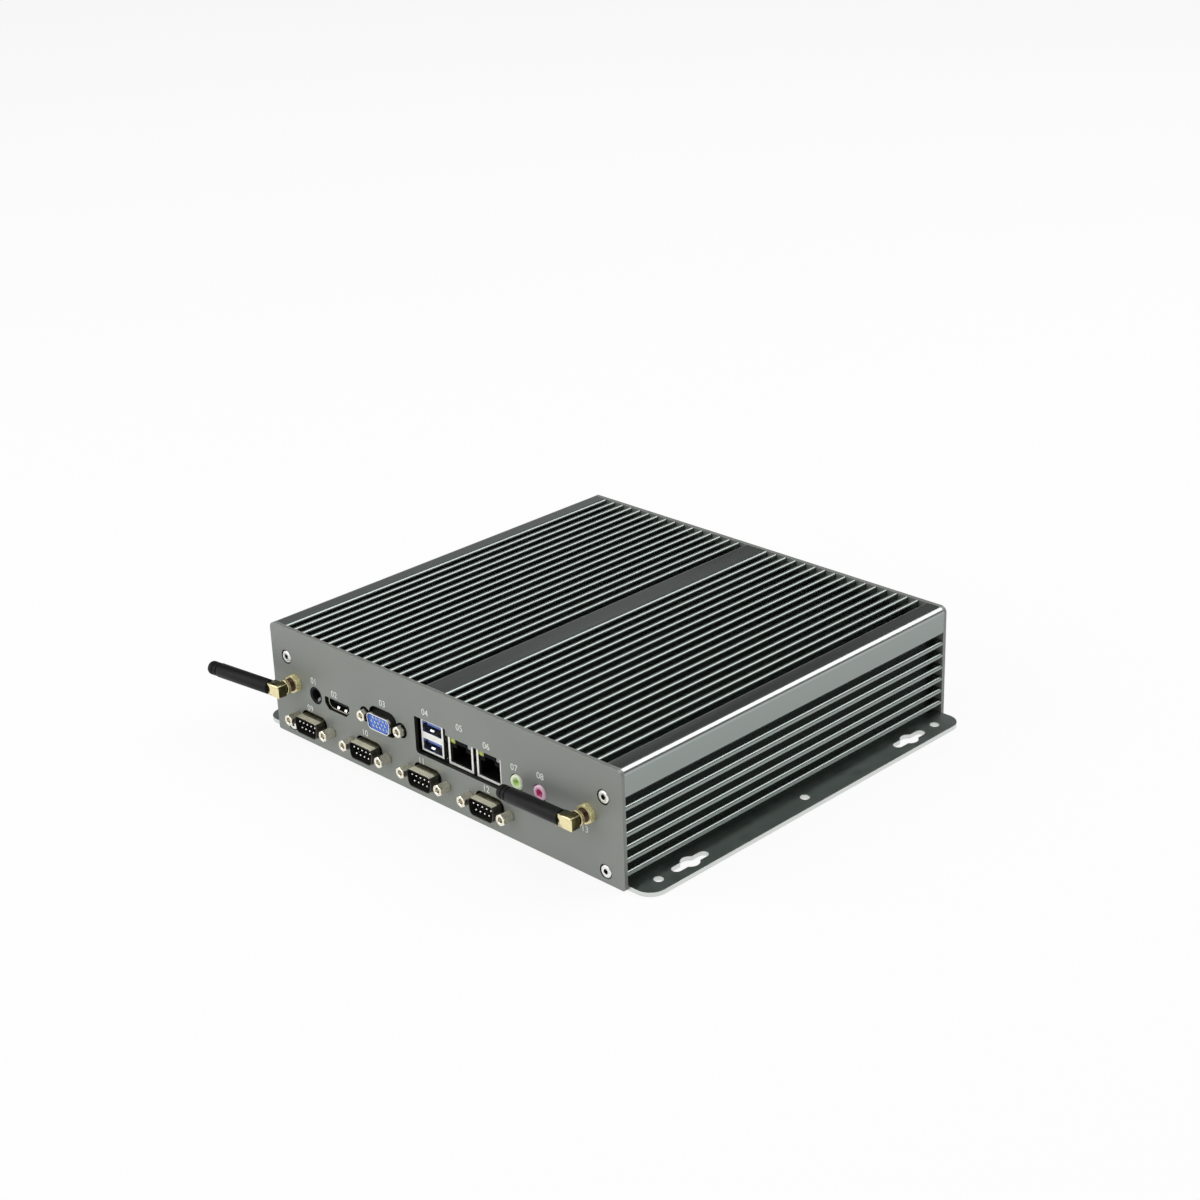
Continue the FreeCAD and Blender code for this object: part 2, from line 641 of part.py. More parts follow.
def usb_shell():
    """Metal can with two stacked port openings, standing on the board by its side skirts."""
    y0 = at_front(SOCKET_SETBACK)
    can = block(USB_X, USB_Z, USB_W, USB_H, y0, y0 + USB_DEPTH)
    skirt = box(USB_X - USB_W / 2, USB_X + USB_W / 2, y0 + USB_SKIRT, y0 + USB_DEPTH, BOARD_TOP, USB_Z)
    hollow = box(USB_X - USB_PORT_W / 2, USB_X + USB_PORT_W / 2, y0 + USB_PORT_DEPTH, y0 + USB_DEPTH,
                 BOARD_TOP, USB_Z + USB_PORT_PITCH / 2 + USB_PORT_H / 2)
    ports = usb_ports(USB_PORT_W, USB_PORT_H, y0, y0 + USB_PORT_DEPTH)
    return can.fuse(skirt).cut(ports + [hollow]).removeSplitter()


def usb_insulator():
    """Coloured moulding: a back block with a tongue high in each port."""
    y1 = at_front(SOCKET_SETBACK + USB_PORT_DEPTH)
    y2 = at_front(SOCKET_SETBACK + USB_DEPTH)
    width, length, thick = USB_TONGUE
    top = USB_Z + USB_PORT_PITCH / 2 + USB_PORT_H / 2
    half = USB_PORT_W / 2 - FIT_GAP
    back = box(USB_X - half, USB_X + half, y1 + FIT_GAP, y2, BOARD_TOP, top - FIT_GAP)
    tongues = [block(USB_X, USB_Z + side * USB_PORT_PITCH / 2 + USB_TONGUE_RISE, width, thick,
                     y1 - length, y1 + NOSE_ROOT) for side in (-1, 1)]
    return back.fuse(tongues).removeSplitter()


def network_shell(x):
    """Shield can, open at its front."""
    y0 = at_front(SOCKET_SETBACK)
    z1 = BOARD_TOP + NETWORK_H
    can = box(x - NETWORK_W / 2, x + NETWORK_W / 2, y0, y0 + NETWORK_DEPTH, BOARD_TOP, z1)
    hollow = box(x - NETWORK_W / 2 + NETWORK_FRAME, x + NETWORK_W / 2 - NETWORK_FRAME, y0,
                 y0 + NETWORK_DEPTH - NETWORK_WALL, BOARD_TOP + NETWORK_FRAME, z1 - NETWORK_WALL)
    return can.cut(hollow)


def network_lights(x, side):
    """Light block in one upper corner of a network socket."""
    y0 = at_front(SOCKET_SETBACK + LIGHT_SETBACK)
    edge = x + side * (NETWORK_W / 2 - NETWORK_FRAME - FIT_GAP)
    x0, x1 = sorted((edge, edge - side * LIGHT_W))
    z1 = BOARD_TOP + NETWORK_H - NETWORK_WALL - FIT_GAP
    return box(x0, x1, y0, y0 + LIGHT_DEPTH, z1 - LIGHT_H, z1)


def network_insert(x):
    """Moulded lining with the plug's cavity, its latch notch up, and corner pockets for the lights."""
    y0 = at_front(SOCKET_SETBACK + NETWORK_LINING_SETBACK)
    y1 = at_front(SOCKET_SETBACK + NETWORK_DEPTH - NETWORK_WALL - FIT_GAP)
    width, height, depth = NETWORK_CAVITY
    half = NETWORK_W / 2 - NETWORK_FRAME - FIT_GAP
    z0, z1 = BOARD_TOP + NETWORK_FRAME + FIT_GAP, BOARD_TOP + NETWORK_H - NETWORK_WALL - FIT_GAP
    floor_z = z0 + NETWORK_WALL
    lining = box(x - half, x + half, y0, y1, z0, z1)
    cavity = box(x - width / 2, x + width / 2, y0, y0 + depth, floor_z, floor_z + height)
    latch = box(x - LATCH_W / 2, x + LATCH_W / 2, y0, y0 + depth, floor_z, floor_z + height + LATCH_H)
    lights = [network_lights(x, side) for side in (-1, 1)]
    return lining.cut([cavity, latch] + lights)


def audio_jack(x):
    """Coloured jack: round nose in the panel's hole, straight bore, body on the board."""
    width, depth, height = AUDIO_BODY
    back = at_front(PANEL_T + depth)
    body = box(x - width / 2, x + width / 2, at_front(PANEL_T), back, BOARD_TOP, BOARD_TOP + height)
    nose = rod_y(x, AUDIO_Z, AUDIO_NOSE_R, at_front(-AUDIO_NOSE_PROUD), at_front(PANEL_T + NOSE_ROOT))
    bore = rod_y(x, AUDIO_Z, AUDIO_BORE_R, at_front(-AUDIO_NOSE_PROUD), back - AUDIO_FLOOR)
    return body.fuse(nose).cut(bore).removeSplitter()


def antenna_socket(side):
    """Bulkhead barrel with a flange behind the panel, where its lead starts."""
    x, z = ANTENNA_PLACES[side]
    barrel = rod_y(x, z, ANTENNA_BARREL_R, at_front(-BARREL_END), at_front(PANEL_T))
    flange = rod_y(x, z, ANTENNA_FLANGE_R, at_front(PANEL_T), SOCKET_TAIL)
    bore = rod_y(x, z, ANTENNA_BORE_R, at_front(-BARREL_END), at_front(-ANTENNA_BORE_END))
    return barrel.fuse(flange).cut(bore).removeSplitter()


def antenna_nuts():
    """Hexagonal nuts that clamp the sockets to the panel."""
    y0, y1 = at_front(-ANTENNA_NUT_T), at_front(0)
    nuts = []
    for x, z in ANTENNA_PLACES.values():
        bore = rod_y(x, z, ANTENNA_BARREL_R + FIT_GAP, y0, y1)
        nuts.append(hexagon_y(x, z, ANTENNA_NUT_AF, y0, y1).cut(bore))
    return Part.makeCompound(nuts)


def antenna_couplers():
    """Coupling rings screwed onto the sockets' ends."""
    y0, y1 = at_front(-COUPLER_TO), at_front(-COUPLER_FROM)
    rings = []
    for x, z in ANTENNA_PLACES.values():
        bore = rod_y(x, z, ANTENNA_BARREL_R + FIT_GAP, y0, y1)
        rings.append(rod_y(x, z, COUPLER_R, y0, y1).cut(bore))
    return Part.makeCompound(rings)


def elbow_middle(side):
    """Point of an antenna's elbow where the rod's line meets the socket's axis."""
    x, z = ANTENNA_PLACES[side]
    return Vector(x, at_front(-ELBOW_MIDDLE), z)


def rod_cylinder(side, lean, radius, start, end):
    """Cylinder along an antenna's rod, between two distances from the elbow's middle."""
    direction = Vector(*lean).normalize()
    return Part.makeCylinder(radius, end - start, elbow_middle(side) + direction * start, direction)


def antenna_elbow(side, lean):
    """Square elbow with an arm towards the rod, a round hub and a pin in the socket's bore."""
    middle = elbow_middle(side)
    half = ELBOW_SIZE / 2
    x0, x1 = middle.x - ELBOW_ARM, middle.x + half
    body = box(x0, x1, at_front(-HUB_TO - ELBOW_DEPTH), at_front(-HUB_TO), middle.z - half, middle.z + half)
    body = body.makeChamfer(ELBOW_CHAMFER, body.Edges)
    hub = rod_y(middle.x, middle.z, HUB_R, at_front(-HUB_TO - ELBOW_CHAMFER), at_front(-HUB_FROM))
    pin = rod_y(middle.x, middle.z, ANTENNA_BORE_R - FIT_GAP, at_front(-HUB_FROM), at_front(-PIN_END))
    bore = rod_cylinder(side, lean, ROD_SPIGOT_R + FIT_GAP, ELBOW_ARM - ROD_SPIGOT, ROD_REACH)
    return body.fuse([hub, pin]).cut(bore).removeSplitter()


def antenna_rod(side, lean):
    """Round rod with two ring grooves near its chamfered tip and a spigot in the elbow's arm."""
    first, second = ROD_GROOVES
    neck = ROD_TIP_R - ROD_GROOVE
    shoulder = ROD_REACH - ROD_TIP_CHAMFER
    pieces = [rod_cylinder(side, lean, ROD_TIP_R, first + ROD_GROOVE_W, second),
              rod_cylinder(side, lean, neck, first, shoulder),
              rod_cylinder(side, lean, ROD_SPIGOT_R, ELBOW_ARM - ROD_SPIGOT, ELBOW_ARM + ROD_SPIGOT)]
    tip = rod_cylinder(side, lean, ROD_TIP_R, second + ROD_GROOVE_W, ROD_REACH)
    end = elbow_middle(side) + Vector(*lean).normalize() * ROD_REACH
    rim = [edge for edge in tip.Edges if edge.CenterOfMass.distanceToPoint(end) < ROD_GROOVE]
    pieces.append(tip.makeChamfer(ROD_TIP_CHAMFER, rim))
    sleeve = rod_cylinder(side, lean, ROD_R, ELBOW_ARM + ROD_START, first)
    return sleeve.fuse(pieces).removeSplitter()


def lead_plug(x, y, z):
    """Flat plug pressed onto a card."""
    return block_z(x, y, LEAD_PLUG, LEAD_PLUG, z - LEAD_PLUG_H / 2, z + LEAD_PLUG_H / 2)


def antenna_lead(side, plug_x):
    """Coaxial lead that runs straight back from a socket, then across to its plug."""
    x, z = ANTENNA_PLACES[side]
    route = [(x, SOCKET_TAIL, z), (x, PLUG_Y, z), (plug_x, PLUG_Y, PLUG_Z)]
    return tube(route, LEAD_R).fuse(lead_plug(plug_x, PLUG_Y, PLUG_Z)).removeSplitter()


def antenna_left_lead():
    """Coaxial lead from the left socket to the wireless card beside it."""
    return antenna_lead("left", WIRELESS_X - PLUG_SHIFT)


def antenna_right_lead():
    """Coaxial lead from the right socket, behind the front sockets, to the wireless card."""
    return antenna_lead("right", WIRELESS_X + PLUG_SHIFT)


def main_board():
    """Bare board."""
    x_mid, y_mid = BOARD_LEFT + BOARD_SIZE / 2, BOARD_FRONT + BOARD_SIZE / 2
    corners = rectangle(x_mid, y_mid, BOARD_SIZE, BOARD_SIZE, BOARD_CORNER_R)
    return prism_z(corners, BOARD_TOP - BOARD_T, BOARD_TOP)


def board_standoffs():
    """Hexagonal posts between the base plate and the board."""
    posts = []
    reach = STANDOFF_AF / math.sqrt(3)
    turns = [math.radians(60 * i) for i in range(6)]
    for x in STANDOFF_X:
        for y in STANDOFF_Y:
            corners = [(x + reach * math.cos(a), y + reach * math.sin(a), 0) for a in turns]
            posts.append(prism_z(corners, BASE_T, BOARD_TOP - BOARD_T))
    return Part.makeCompound(posts)


def processor():
    """Package with a raised lid."""
    base = block_z(HEAT_X, HEAT_Y, PROCESSOR_SIZE, PROCESSOR_SIZE, BOARD_TOP, BOARD_TOP + PROCESSOR_BASE)
    lid_size = PROCESSOR_SIZE - 2 * LID_INSET
    lid = block_z(HEAT_X, HEAT_Y, lid_size, lid_size, BOARD_TOP + PROCESSOR_BASE, BOARD_TOP + PROCESSOR_H)
    return base.fuse(lid).removeSplitter()


def heat_block():
    """Block between processor and ceiling, standing on the board by two rails."""
    body = block_z(HEAT_X, HEAT_Y, HEAT_W, HEAT_D, BOARD_TOP, CEILING)
    room_w = HEAT_W - 2 * HEAT_RAIL
    return body.cut(block_z(HEAT_X, HEAT_Y, room_w, HEAT_D, BOARD_TOP, BOARD_TOP + PROCESSOR_H))


def memory_card_y():
    """Middle of the memory card, whose contact edge lies in its socket."""
    return MEMORY_Y + MEMORY_SIZE[1] / 2


def memory_socket():
    """Edge socket with two side arms."""
    width, depth, height = MEMORY_BAR
    bar = block_z(MEMORY_X, MEMORY_Y, width, depth, BOARD_TOP, BOARD_TOP + height)
    arm_w, arm_d, arm_h = MEMORY_ARM
    arm_x = MEMORY_SIZE[0] / 2 + FIT_GAP + arm_w / 2
    arm_y = MEMORY_Y + (arm_d - depth) / 2
    arms = [block_z(MEMORY_X + side * arm_x, arm_y, arm_w, arm_d, BOARD_TOP, BOARD_TOP + arm_h)
            for side in (-1, 1)]
    slot = block_z(MEMORY_X, memory_card_y() - FIT_GAP, MEMORY_SIZE[0] + 2 * FIT_GAP, MEMORY_SIZE[1],
                   MEMORY_Z - FIT_GAP, MEMORY_Z + MEMORY_T + FIT_GAP)
    return bar.fuse(arms).cut(slot).removeSplitter()


def memory_module():
    """Memory card with a row of chips."""
    card = block_z(MEMORY_X, memory_card_y(), *MEMORY_SIZE, MEMORY_Z, MEMORY_Z + MEMORY_T)
    width, depth, height = MEMORY_CHIP
    first = -(MEMORY_CHIPS - 1) / 2
    top = MEMORY_Z + MEMORY_T
    chips = [block_z(MEMORY_X + (first + i) * MEMORY_CHIP_PITCH, MEMORY_Y + MEMORY_CHIP_Y, width, depth,
                     top, top + height) for i in range(MEMORY_CHIPS)]
    return card.fuse(chips).removeSplitter()


def card_socket(card, x, edge_y):
    """Edge socket round the contact edge of a plug-in card."""
    width, depth = CARD_SOCKET
    bar = block_z(x, edge_y, width, depth, BOARD_TOP, CARD_Z + CARD_T + CARD_CHIP_T)
    room = card.BoundBox
    slot = box(room.XMin - FIT_GAP, room.XMax + FIT_GAP, room.YMin - FIT_GAP, room.YMax + FIT_GAP,
               CARD_Z - FIT_GAP, CARD_Z + CARD_T + FIT_GAP)
    return bar.cut(slot)


def card_sockets():
    """Sockets of the storage card and the wireless card."""
    store_edge = STORAGE_Y - STORAGE_SIZE[1] / 2
    wireless_edge = WIRELESS_Y + WIRELESS_SIZE[1] / 2
    return Part.makeCompound([card_socket(storage_card(), STORAGE_X, store_edge),
                              card_socket(wireless_card(), WIRELESS_X, wireless_edge)])


def plug_in_card(x, y, size, chip):
    """Plug-in card with one large chip."""
    card = block_z(x, y, *size, CARD_Z, CARD_Z + CARD_T)
    width, depth, shift = chip
    top = CARD_Z + CARD_T
    return card.fuse(block_z(x, y + shift, width, depth, top, top + CARD_CHIP_T)).removeSplitter()


def storage_card():
    """Solid-state storage card."""
    return plug_in_card(STORAGE_X, STORAGE_Y, STORAGE_SIZE, STORAGE_CHIP)


def wireless_card():
    """Radio card with a shield can."""
    return plug_in_card(WIRELESS_X, WIRELESS_Y, WIRELESS_SIZE, WIRELESS_CHIP)


def serial_board():
    """Upright board behind the four serial sockets."""
    y0 = at_front(SERIAL_BOARD_Y)
    beyond = SERIAL_BODY[0] / 2 + SERIAL_BOARD_MARGIN
    return box(SERIAL_X[0] - beyond, SERIAL_X[-1] + beyond, y0, y0 + BOARD_T, *SERIAL_BOARD_Z)


def serial_header():
    """Pin header that joins the upright board to the main board's underside."""
    y0 = at_front(SERIAL_BOARD_Y) + BOARD_T
    return box(*HEADER_X, y0, y0 + HEADER_DEPTH, HEADER_Z, BOARD_TOP - BOARD_T)


def power_button_body():
    """Bezel, barrel and switch body in one, with the cap's bore."""
    bezel = rod_y(BUTTON_X, BUTTON_Z, BUTTON_BEZEL_R, REAR, REAR + BUTTON_BEZEL_T)
    outer = [edge for edge in bezel.Edges if edge.CenterOfMass.y > REAR + BUTTON_BEZEL_T - FIT_GAP]
    bezel = bezel.makeChamfer(BEZEL_CHAMFER, outer)
    barrel = rod_y(BUTTON_X, BUTTON_Z, BUTTON_BARREL_R, REAR - BUTTON_BARREL, REAR)
    bore_end = REAR + BUTTON_BEZEL_T
    bore = rod_y(BUTTON_X, BUTTON_Z, BUTTON_CAP_R + BUTTON_CAP_GAP, bore_end - BUTTON_BORE_DEPTH, bore_end)
    return bezel.fuse(barrel).cut(bore).removeSplitter()


def power_button_cap():
    """Push cap standing a little proud of the bezel."""
    front = REAR + BUTTON_BEZEL_T + BUTTON_PROUD
    cap = rod_y(BUTTON_X, BUTTON_Z, BUTTON_CAP_R, front - BUTTON_CAP_LENGTH, front)
    return cap.makeChamfer(CAP_CHAMFER, [edge for edge in cap.Edges if edge.CenterOfMass.y > front - FIT_GAP])


def power_button_nut():
    """Nut that clamps the button behind the rear panel."""
    y1 = HOUSING_REAR
    nut = hexagon_y(BUTTON_X, BUTTON_Z, BUTTON_NUT_AF, y1 - BUTTON_NUT_T, y1)
    return nut.cut(rod_y(BUTTON_X, BUTTON_Z, BUTTON_BARREL_R + FIT_GAP, y1 - BUTTON_NUT_T, y1))


def power_lead():
    """Two-wire lead from the button to a plug near the board's back edge."""
    plug = block_z(PLUG_X, POWER_Y, *POWER_PLUG, BOARD_TOP, BUTTON_Z + POWER_PLUG_RISE)
    start = (BUTTON_X, REAR - BUTTON_BARREL, BUTTON_Z)
    route = [start, (BUTTON_X, POWER_Y, BUTTON_Z), (PLUG_X, POWER_Y, BUTTON_Z)]
    return tube(route, POWER_LEAD_R).fuse(plug).removeSplitter()


NODES = {
    "housing": housing,
    "front_panel": front_panel,
    "rear_panel": rear_panel,
    "base_plate": base_plate,
    "panel_screws": panel_screws,
    "base_screws": base_screws,
    "dc_inlet_body": dc_inlet_body,
    "dc_inlet_pin": dc_inlet_pin,
    "digital_video_shell": digital_video_shell,
    "digital_video_tongue": digital_video_tongue,
    "video_shell": video_shell,
    "video_insert": video_insert,
    "serial_pins": serial_pins,
    "jackscrews": jackscrews,
    "usb_shell": usb_shell,
    "usb_insulator": usb_insulator,
    "audio_out_jack": lambda: audio_jack(AUDIO_X[0]),
    "audio_in_jack": lambda: audio_jack(AUDIO_X[1]),
    "network_link_lights": lambda: Part.makeCompound([network_lights(x, -1) for x in NETWORK_X]),
    "network_speed_lights": lambda: Part.makeCompound([network_lights(x, 1) for x in NETWORK_X]),
    "antenna_left_socket": lambda: antenna_socket("left"),
    "antenna_right_socket": lambda: antenna_socket("right"),
    "antenna_nuts": antenna_nuts,
    "antenna_couplers": antenna_couplers,
    "antenna_left_elbow": lambda: antenna_elbow("left", LEFT_LEAN),
    "antenna_right_elbow": lambda: antenna_elbow("right", RIGHT_LEAN),
    "antenna_left_rod": lambda: antenna_rod("left", LEFT_LEAN),
    "antenna_right_rod": lambda: antenna_rod("right", RIGHT_LEAN),
    "antenna_left_lead": antenna_left_lead,
    "antenna_right_lead": antenna_right_lead,
    "main_board": main_board,
    "board_standoffs": board_standoffs,
    "processor": processor,
    "heat_block": heat_block,
    "memory_socket": memory_socket,
    "memory_module": memory_module,
    "card_sockets": card_sockets,
    "storage_card": storage_card,
    "wireless_card": wireless_card,
    "serial_board": serial_board,
    "serial_header": serial_header,
    "power_button_body": power_button_body,
    "power_button_cap": power_button_cap,
    "power_button_nut": power_button_nut,
    "power_lead": power_lead,
}
for number, x in enumerate(SERIAL_X, 1):
    NODES[f"serial_{number}_shell"] = lambda x=x: serial_shell(x)
    NODES[f"serial_{number}_insert"] = lambda x=x: serial_insert(x)
for number, x in enumerate(NETWORK_X, 1):
    NODES[f"network_{number}_shell"] = lambda x=x: network_shell(x)
    NODES[f"network_{number}_insert"] = lambda x=x: network_insert(x)

os.makedirs("parts", exist_ok=True)
for name, make in NODES.items():
    make().exportStep(f"parts/{name}.step")
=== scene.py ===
import math

import bmesh
import bpy
from mathutils import Matrix, Vector


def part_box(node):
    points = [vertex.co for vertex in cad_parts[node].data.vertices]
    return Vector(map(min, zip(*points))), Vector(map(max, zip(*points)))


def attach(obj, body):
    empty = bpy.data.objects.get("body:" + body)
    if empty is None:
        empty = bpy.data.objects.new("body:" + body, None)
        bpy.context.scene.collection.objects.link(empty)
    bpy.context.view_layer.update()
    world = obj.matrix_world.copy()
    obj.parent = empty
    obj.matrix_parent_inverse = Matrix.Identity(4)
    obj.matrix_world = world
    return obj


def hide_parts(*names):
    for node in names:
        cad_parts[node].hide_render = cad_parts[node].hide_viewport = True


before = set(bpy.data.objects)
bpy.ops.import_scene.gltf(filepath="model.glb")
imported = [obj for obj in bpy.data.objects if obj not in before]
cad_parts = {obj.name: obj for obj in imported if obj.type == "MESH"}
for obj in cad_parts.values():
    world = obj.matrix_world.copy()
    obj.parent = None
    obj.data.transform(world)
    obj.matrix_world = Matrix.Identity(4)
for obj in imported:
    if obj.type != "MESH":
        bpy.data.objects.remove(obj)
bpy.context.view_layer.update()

# Millimetres in metres, the axes, and directions along them
MM = 0.001
X, Y, Z = range(3)
FORWARD, BACKWARD, DOWNWARD = (0, -1, 0), (0, 1, 0), (0, 0, -1)
SIDES = (-1, 1)


# Places that the CAD model gives, in millimetres

def reach(node, axis, end):
    """Lowest (end 0) or highest (end 1) place of a CAD node along an axis."""
    return round(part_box(node)[end][axis] / MM, 3)


def halfway(node, axis):
    """Place halfway between the two ends of a CAD node."""
    return round((reach(node, axis, 0) + reach(node, axis, 1)) / 2, 3)


def antenna_place(side):
    """Place of an antenna's axis across the front, x and z."""
    return halfway(f"antenna_{side}_socket", X), halfway(f"antenna_{side}_elbow", Z)


FRONT = reach("front_panel", Y, 0)
REAR = reach("rear_panel", Y, 1)
SERIALS = range(1, 5)
SERIAL_X = [halfway(f"serial_{number}_shell", X) for number in SERIALS]
SERIAL_Z = halfway("serial_1_shell", Z)
VIDEO_X = halfway("video_shell", X)
VIDEO_Z = halfway("video_shell", Z)
DC_X = halfway("dc_inlet_pin", X)
DC_Z = halfway("dc_inlet_pin", Z)
DIGITAL_X = halfway("digital_video_tongue", X)
DIGITAL_Z = halfway("digital_video_tongue", Z)
USB_X = halfway("usb_shell", X)
NETWORK_X = [halfway(f"network_{number}_shell", X) for number in (1, 2)]
NETWORK_TOP = reach("network_1_insert", Z, 1)
AUDIO_X = [halfway(f"audio_{way}_jack", X) for way in ("out", "in")]
ANTENNAS = {side: antenna_place(side) for side in ("left", "right")}

# Front panel inside its edges, in millimetres
PANEL_INSIDE_X = 110.0
PANEL_INSIDE_Z = (2.4, 52.0)

# Where the painted highlight on the housing's upper roundings and the painted shade in its side grooves fade,
# in millimetres: roundings by x and z added up, side grooves by x and z
ROUNDING = (166.4, 167.5)
GROOVE_X = (111.5, 113.5)
GROOVE_TOP = (42.3, 43.0)

# Screws, in millimetres
PANEL_SCREWS = [(side * 103.3, z) for side in SIDES for z in (5.5, 40.2)]
PANEL_SCREW_RECESS = 1.4
PANEL_SCREW_LENGTH = 9.0
PANEL_SCREW_KEY = 2.3
PANEL_KEY_LIP_R = 1.6
PANEL_KEY_FLOOR = (0.25, 0.1)
BASE_SCREWS = [(side * 106.7, row * 80.0) for side in SIDES for row in (-1, 0, 1)]
BASE_SCREW_LENGTH = 7.0
BASE_SCREW_KEY = 2.0
BASE_KEY_LIP_R = 1.3
BASE_KEY_FLOOR = (-1.2, -1.4)
SHANK_R = 1.25
SHANK_TIP_R = 0.9
SHANK_TIP = 0.4
HEAD_R = 3.0
HEAD_H = 1.6
HEAD_ROUNDING = (1.05, 0.75)
KEY_LIP = 0.1
SUNK_R = 2.85
SUNK_H = 1.65
SUNK_EDGE = (0.05, 0.06)

# Hexagonal posts beside the sockets, in millimetres
POST_SPACING = 24.99
POST_FLATS = 5.0
POST_LENGTH = 6.0
POST_FOOT_R = 2.0
POST_END_R = 2.35
POST_CHAMFER = 0.4
POST_CHAMFER_STEPS = 4
POST_SLOPE = 1.6
POST_MOUTH_R = 1.6
POST_MOUTH = 0.25
POST_BORE_R = 1.3
POST_BORE_DEPTH = 4.5
POST_BORE_TIP = 0.3
POST_THREAD_R = 1.42
POST_THREAD_PITCH = 0.6
POST_THREAD_TURNS = 6
POST_THREAD_START = 0.35
POST_THREAD_STEPS = (0.2, 0.35, 0.55)

# Serial and video sockets, in millimetres
SERIAL_SETBACK = 2.0
SERIAL_BAND = 2.2
FLANGE_MARGIN = 0.1
PIN_R = 0.5
PIN_ROOT = -1.0
PIN_REACH = 4.7
PIN_PITCH = 2.77
PIN_ROWS = ((5, 1.42), (4, -1.42))
VIDEO_SETBACK = 3.0
VIDEO_FACE = 2.5
VIDEO_RIM = 1.8
VIDEO_COLUMNS = 5
VIDEO_PITCH = 2.29
VIDEO_ROWS = ((1.98, 0.57), (0, -0.57), (-1.98, 0.57))
VIDEO_HOLE_R = 0.66
VIDEO_HOLE_DEPTH = 3.0
VIDEO_HOLE_START = 0.5
VIDEO_TUBE_R = (0.62, 0.3)
VIDEO_TUBE_START = (-0.1, -0.2)

# Contacts: places across, path of distance behind the front and rise, width and thickness, in millimetres
USB_PORTS = (25.7, 34.3)
USB_ACROSS = (-3.5, -1.0, 1.0, 3.5)
USB_PATH = ((5.0, -0.12), (5.4, -0.24), (13.0, -0.12))
USB_STRIP = (1.0, 0.14)
NETWORK_FLOOR = 23.15
NETWORK_WIRES = 8
NETWORK_PITCH = 1.02
NETWORK_PATH = ((9.0, 0.3), (9.5, 0.5), (13.6, 3.4))
NETWORK_STRIP = (0.45, 0.3)
DIGITAL_STRIPS = 10
DIGITAL_PITCH = 1.0
DIGITAL_TONGUE_TOP = 26.35
DIGITAL_PATH = ((3.1, 0.03), (8.2, 0.03))
DIGITAL_STRIP = (0.45, 0.1)

# Spring leaves: places, paths as for the contacts, width and thickness, in millimetres and degrees
USB_SPRING_SHIFT = -0.8
USB_SPRING_DROP = 2.6
USB_SPRING_PATH = ((2.9, 0.9), (3.4, 1.5), (4.4, 1.3), (8.5, 0.2))
USB_SPRING = (2.4, 0.25)
DIGITAL_FLOOR = 23.3
DIGITAL_SPRING_SHIFT = 1.0
DIGITAL_SPRING_SIDE = 2.6
DIGITAL_SPRING_PATH = ((1.75, 0.1), (2.3, 1.1), (2.9, 1.15), (3.6, 0.9), (7.0, 0.1))
DIGITAL_SPRING = (1.6, 0.2)
DC_SPRING_LEAN = -47
DC_SPRING_PATH = ((0.4, 2.9), (0.55, 2.3), (0.8, 1.7), (1.2, 1.6), (2.2, 2.0), (5.0, 3.0), (8.0, 3.05))
DC_SPRING = (2.6, 0.2)

# Jacks and light lenses, in millimetres
AUDIO_Z = 28.7
AUDIO_BORE_R = 1.8
AUDIO_MARGIN = 0.05
LENS_SIDE = 5.25
LENS_SETBACK = 2.5
LENS_DROP = 1.3
LENS_HALF_H = 1.3
LENS_HALF_W = 1.5
LENS_DEPTH = 8.0
LENS_DOME = 0.6
LENS_STEPS = 4
LENS_ROUNDNESS = 0.75

# Antennas, in millimetres
ELBOW_MIDDLE = 10.1
LEANS = {"left": (-47.8, -5.0, -0.5), "right": (-47.6, 3.3, -3.3)}
NUT_FLATS = 8.3
NUT_H = 2.7
NUT_FOOT_R = 4.5
NUT_FOOT = 0.2
NUT_END_R = 4.2
NUT_SLOPE = 0.8
NUT_CUTS = (0.8, 0.5, 0.2, 0.0)
NUT_MOUTH_R = 3.3
NUT_MOUTH = 0.1
COUPLER_ENDS = (5.2, 6.9)
COUPLER_R = 3.6
COUPLER_EDGE_R = 3.35
COUPLER_EDGE = 0.2
COLLAR_BORE_R = 3.2
KNURL_DEPTH = 0.22
KNURL_TEETH = 36
BARREL_FLANGE_R = 4.5
BARREL_FLANGE_ENDS = (-6.0, -2.0)
BARREL_NECK_R = 3.1
BARREL_END = 6.6
BARREL_END_R = 2.75
BARREL_MOUTH_R = 1.75
BARREL_MOUTH = 0.2
BARREL_BORE_R = 1.55
BARREL_BORE_FLOOR = 1.0
BARREL_BORE_TIP = 0.1
THREAD_ENDS = (-1.9, 6.3)
THREAD_R = 3.15
THREAD_DEPTH = 0.32
THREAD_PITCH = 0.706
THREAD_STEPS = 60
ROD_PLUG_R = 2.0
ROD_PLUG_START = 2.5
ROD_R = 3.5
ROD_ENDS = (5.5, 39.2)
ROD_RING_R = 3.3
ROD_RING_ENDS = (39.8, 41.6)
ROD_TIP_ENDS = (42.2, 45.5)
ROD_START_ROUNDING = (0.4, 0.45)
ROD_END_ROUNDING = (0.6, 0.5)
ROD_GROOVE_ROUNDING = (0.4, 0.3)
ROD_TIP_ROUNDING = (1.5, 1.6)

# Printed numbers: middle points, x and z, in millimetres
NUMBERS = [
    (-84.2, 33.4), (-69.7, 31.2), (-35.1, 37.7), (-6.0, 42.7), (16.4, 42.6), (33.3, 39.6), (50.3, 35.2),
    (66.2, 36.7), (-88.5, 18.2), (-49.1, 18.6), (-10.4, 17.6), (31.7, 18.5), (91.9, 21.3),
]
NUMBER_SIZE = 4.4
PRINT_T = 0.02

# Sides of round pieces
FINE_SIDES = 48
LENS_SIDES = 32
HOLE_SIDES = 20
PIN_SIDES = 16
KNURL_SIDES = 144

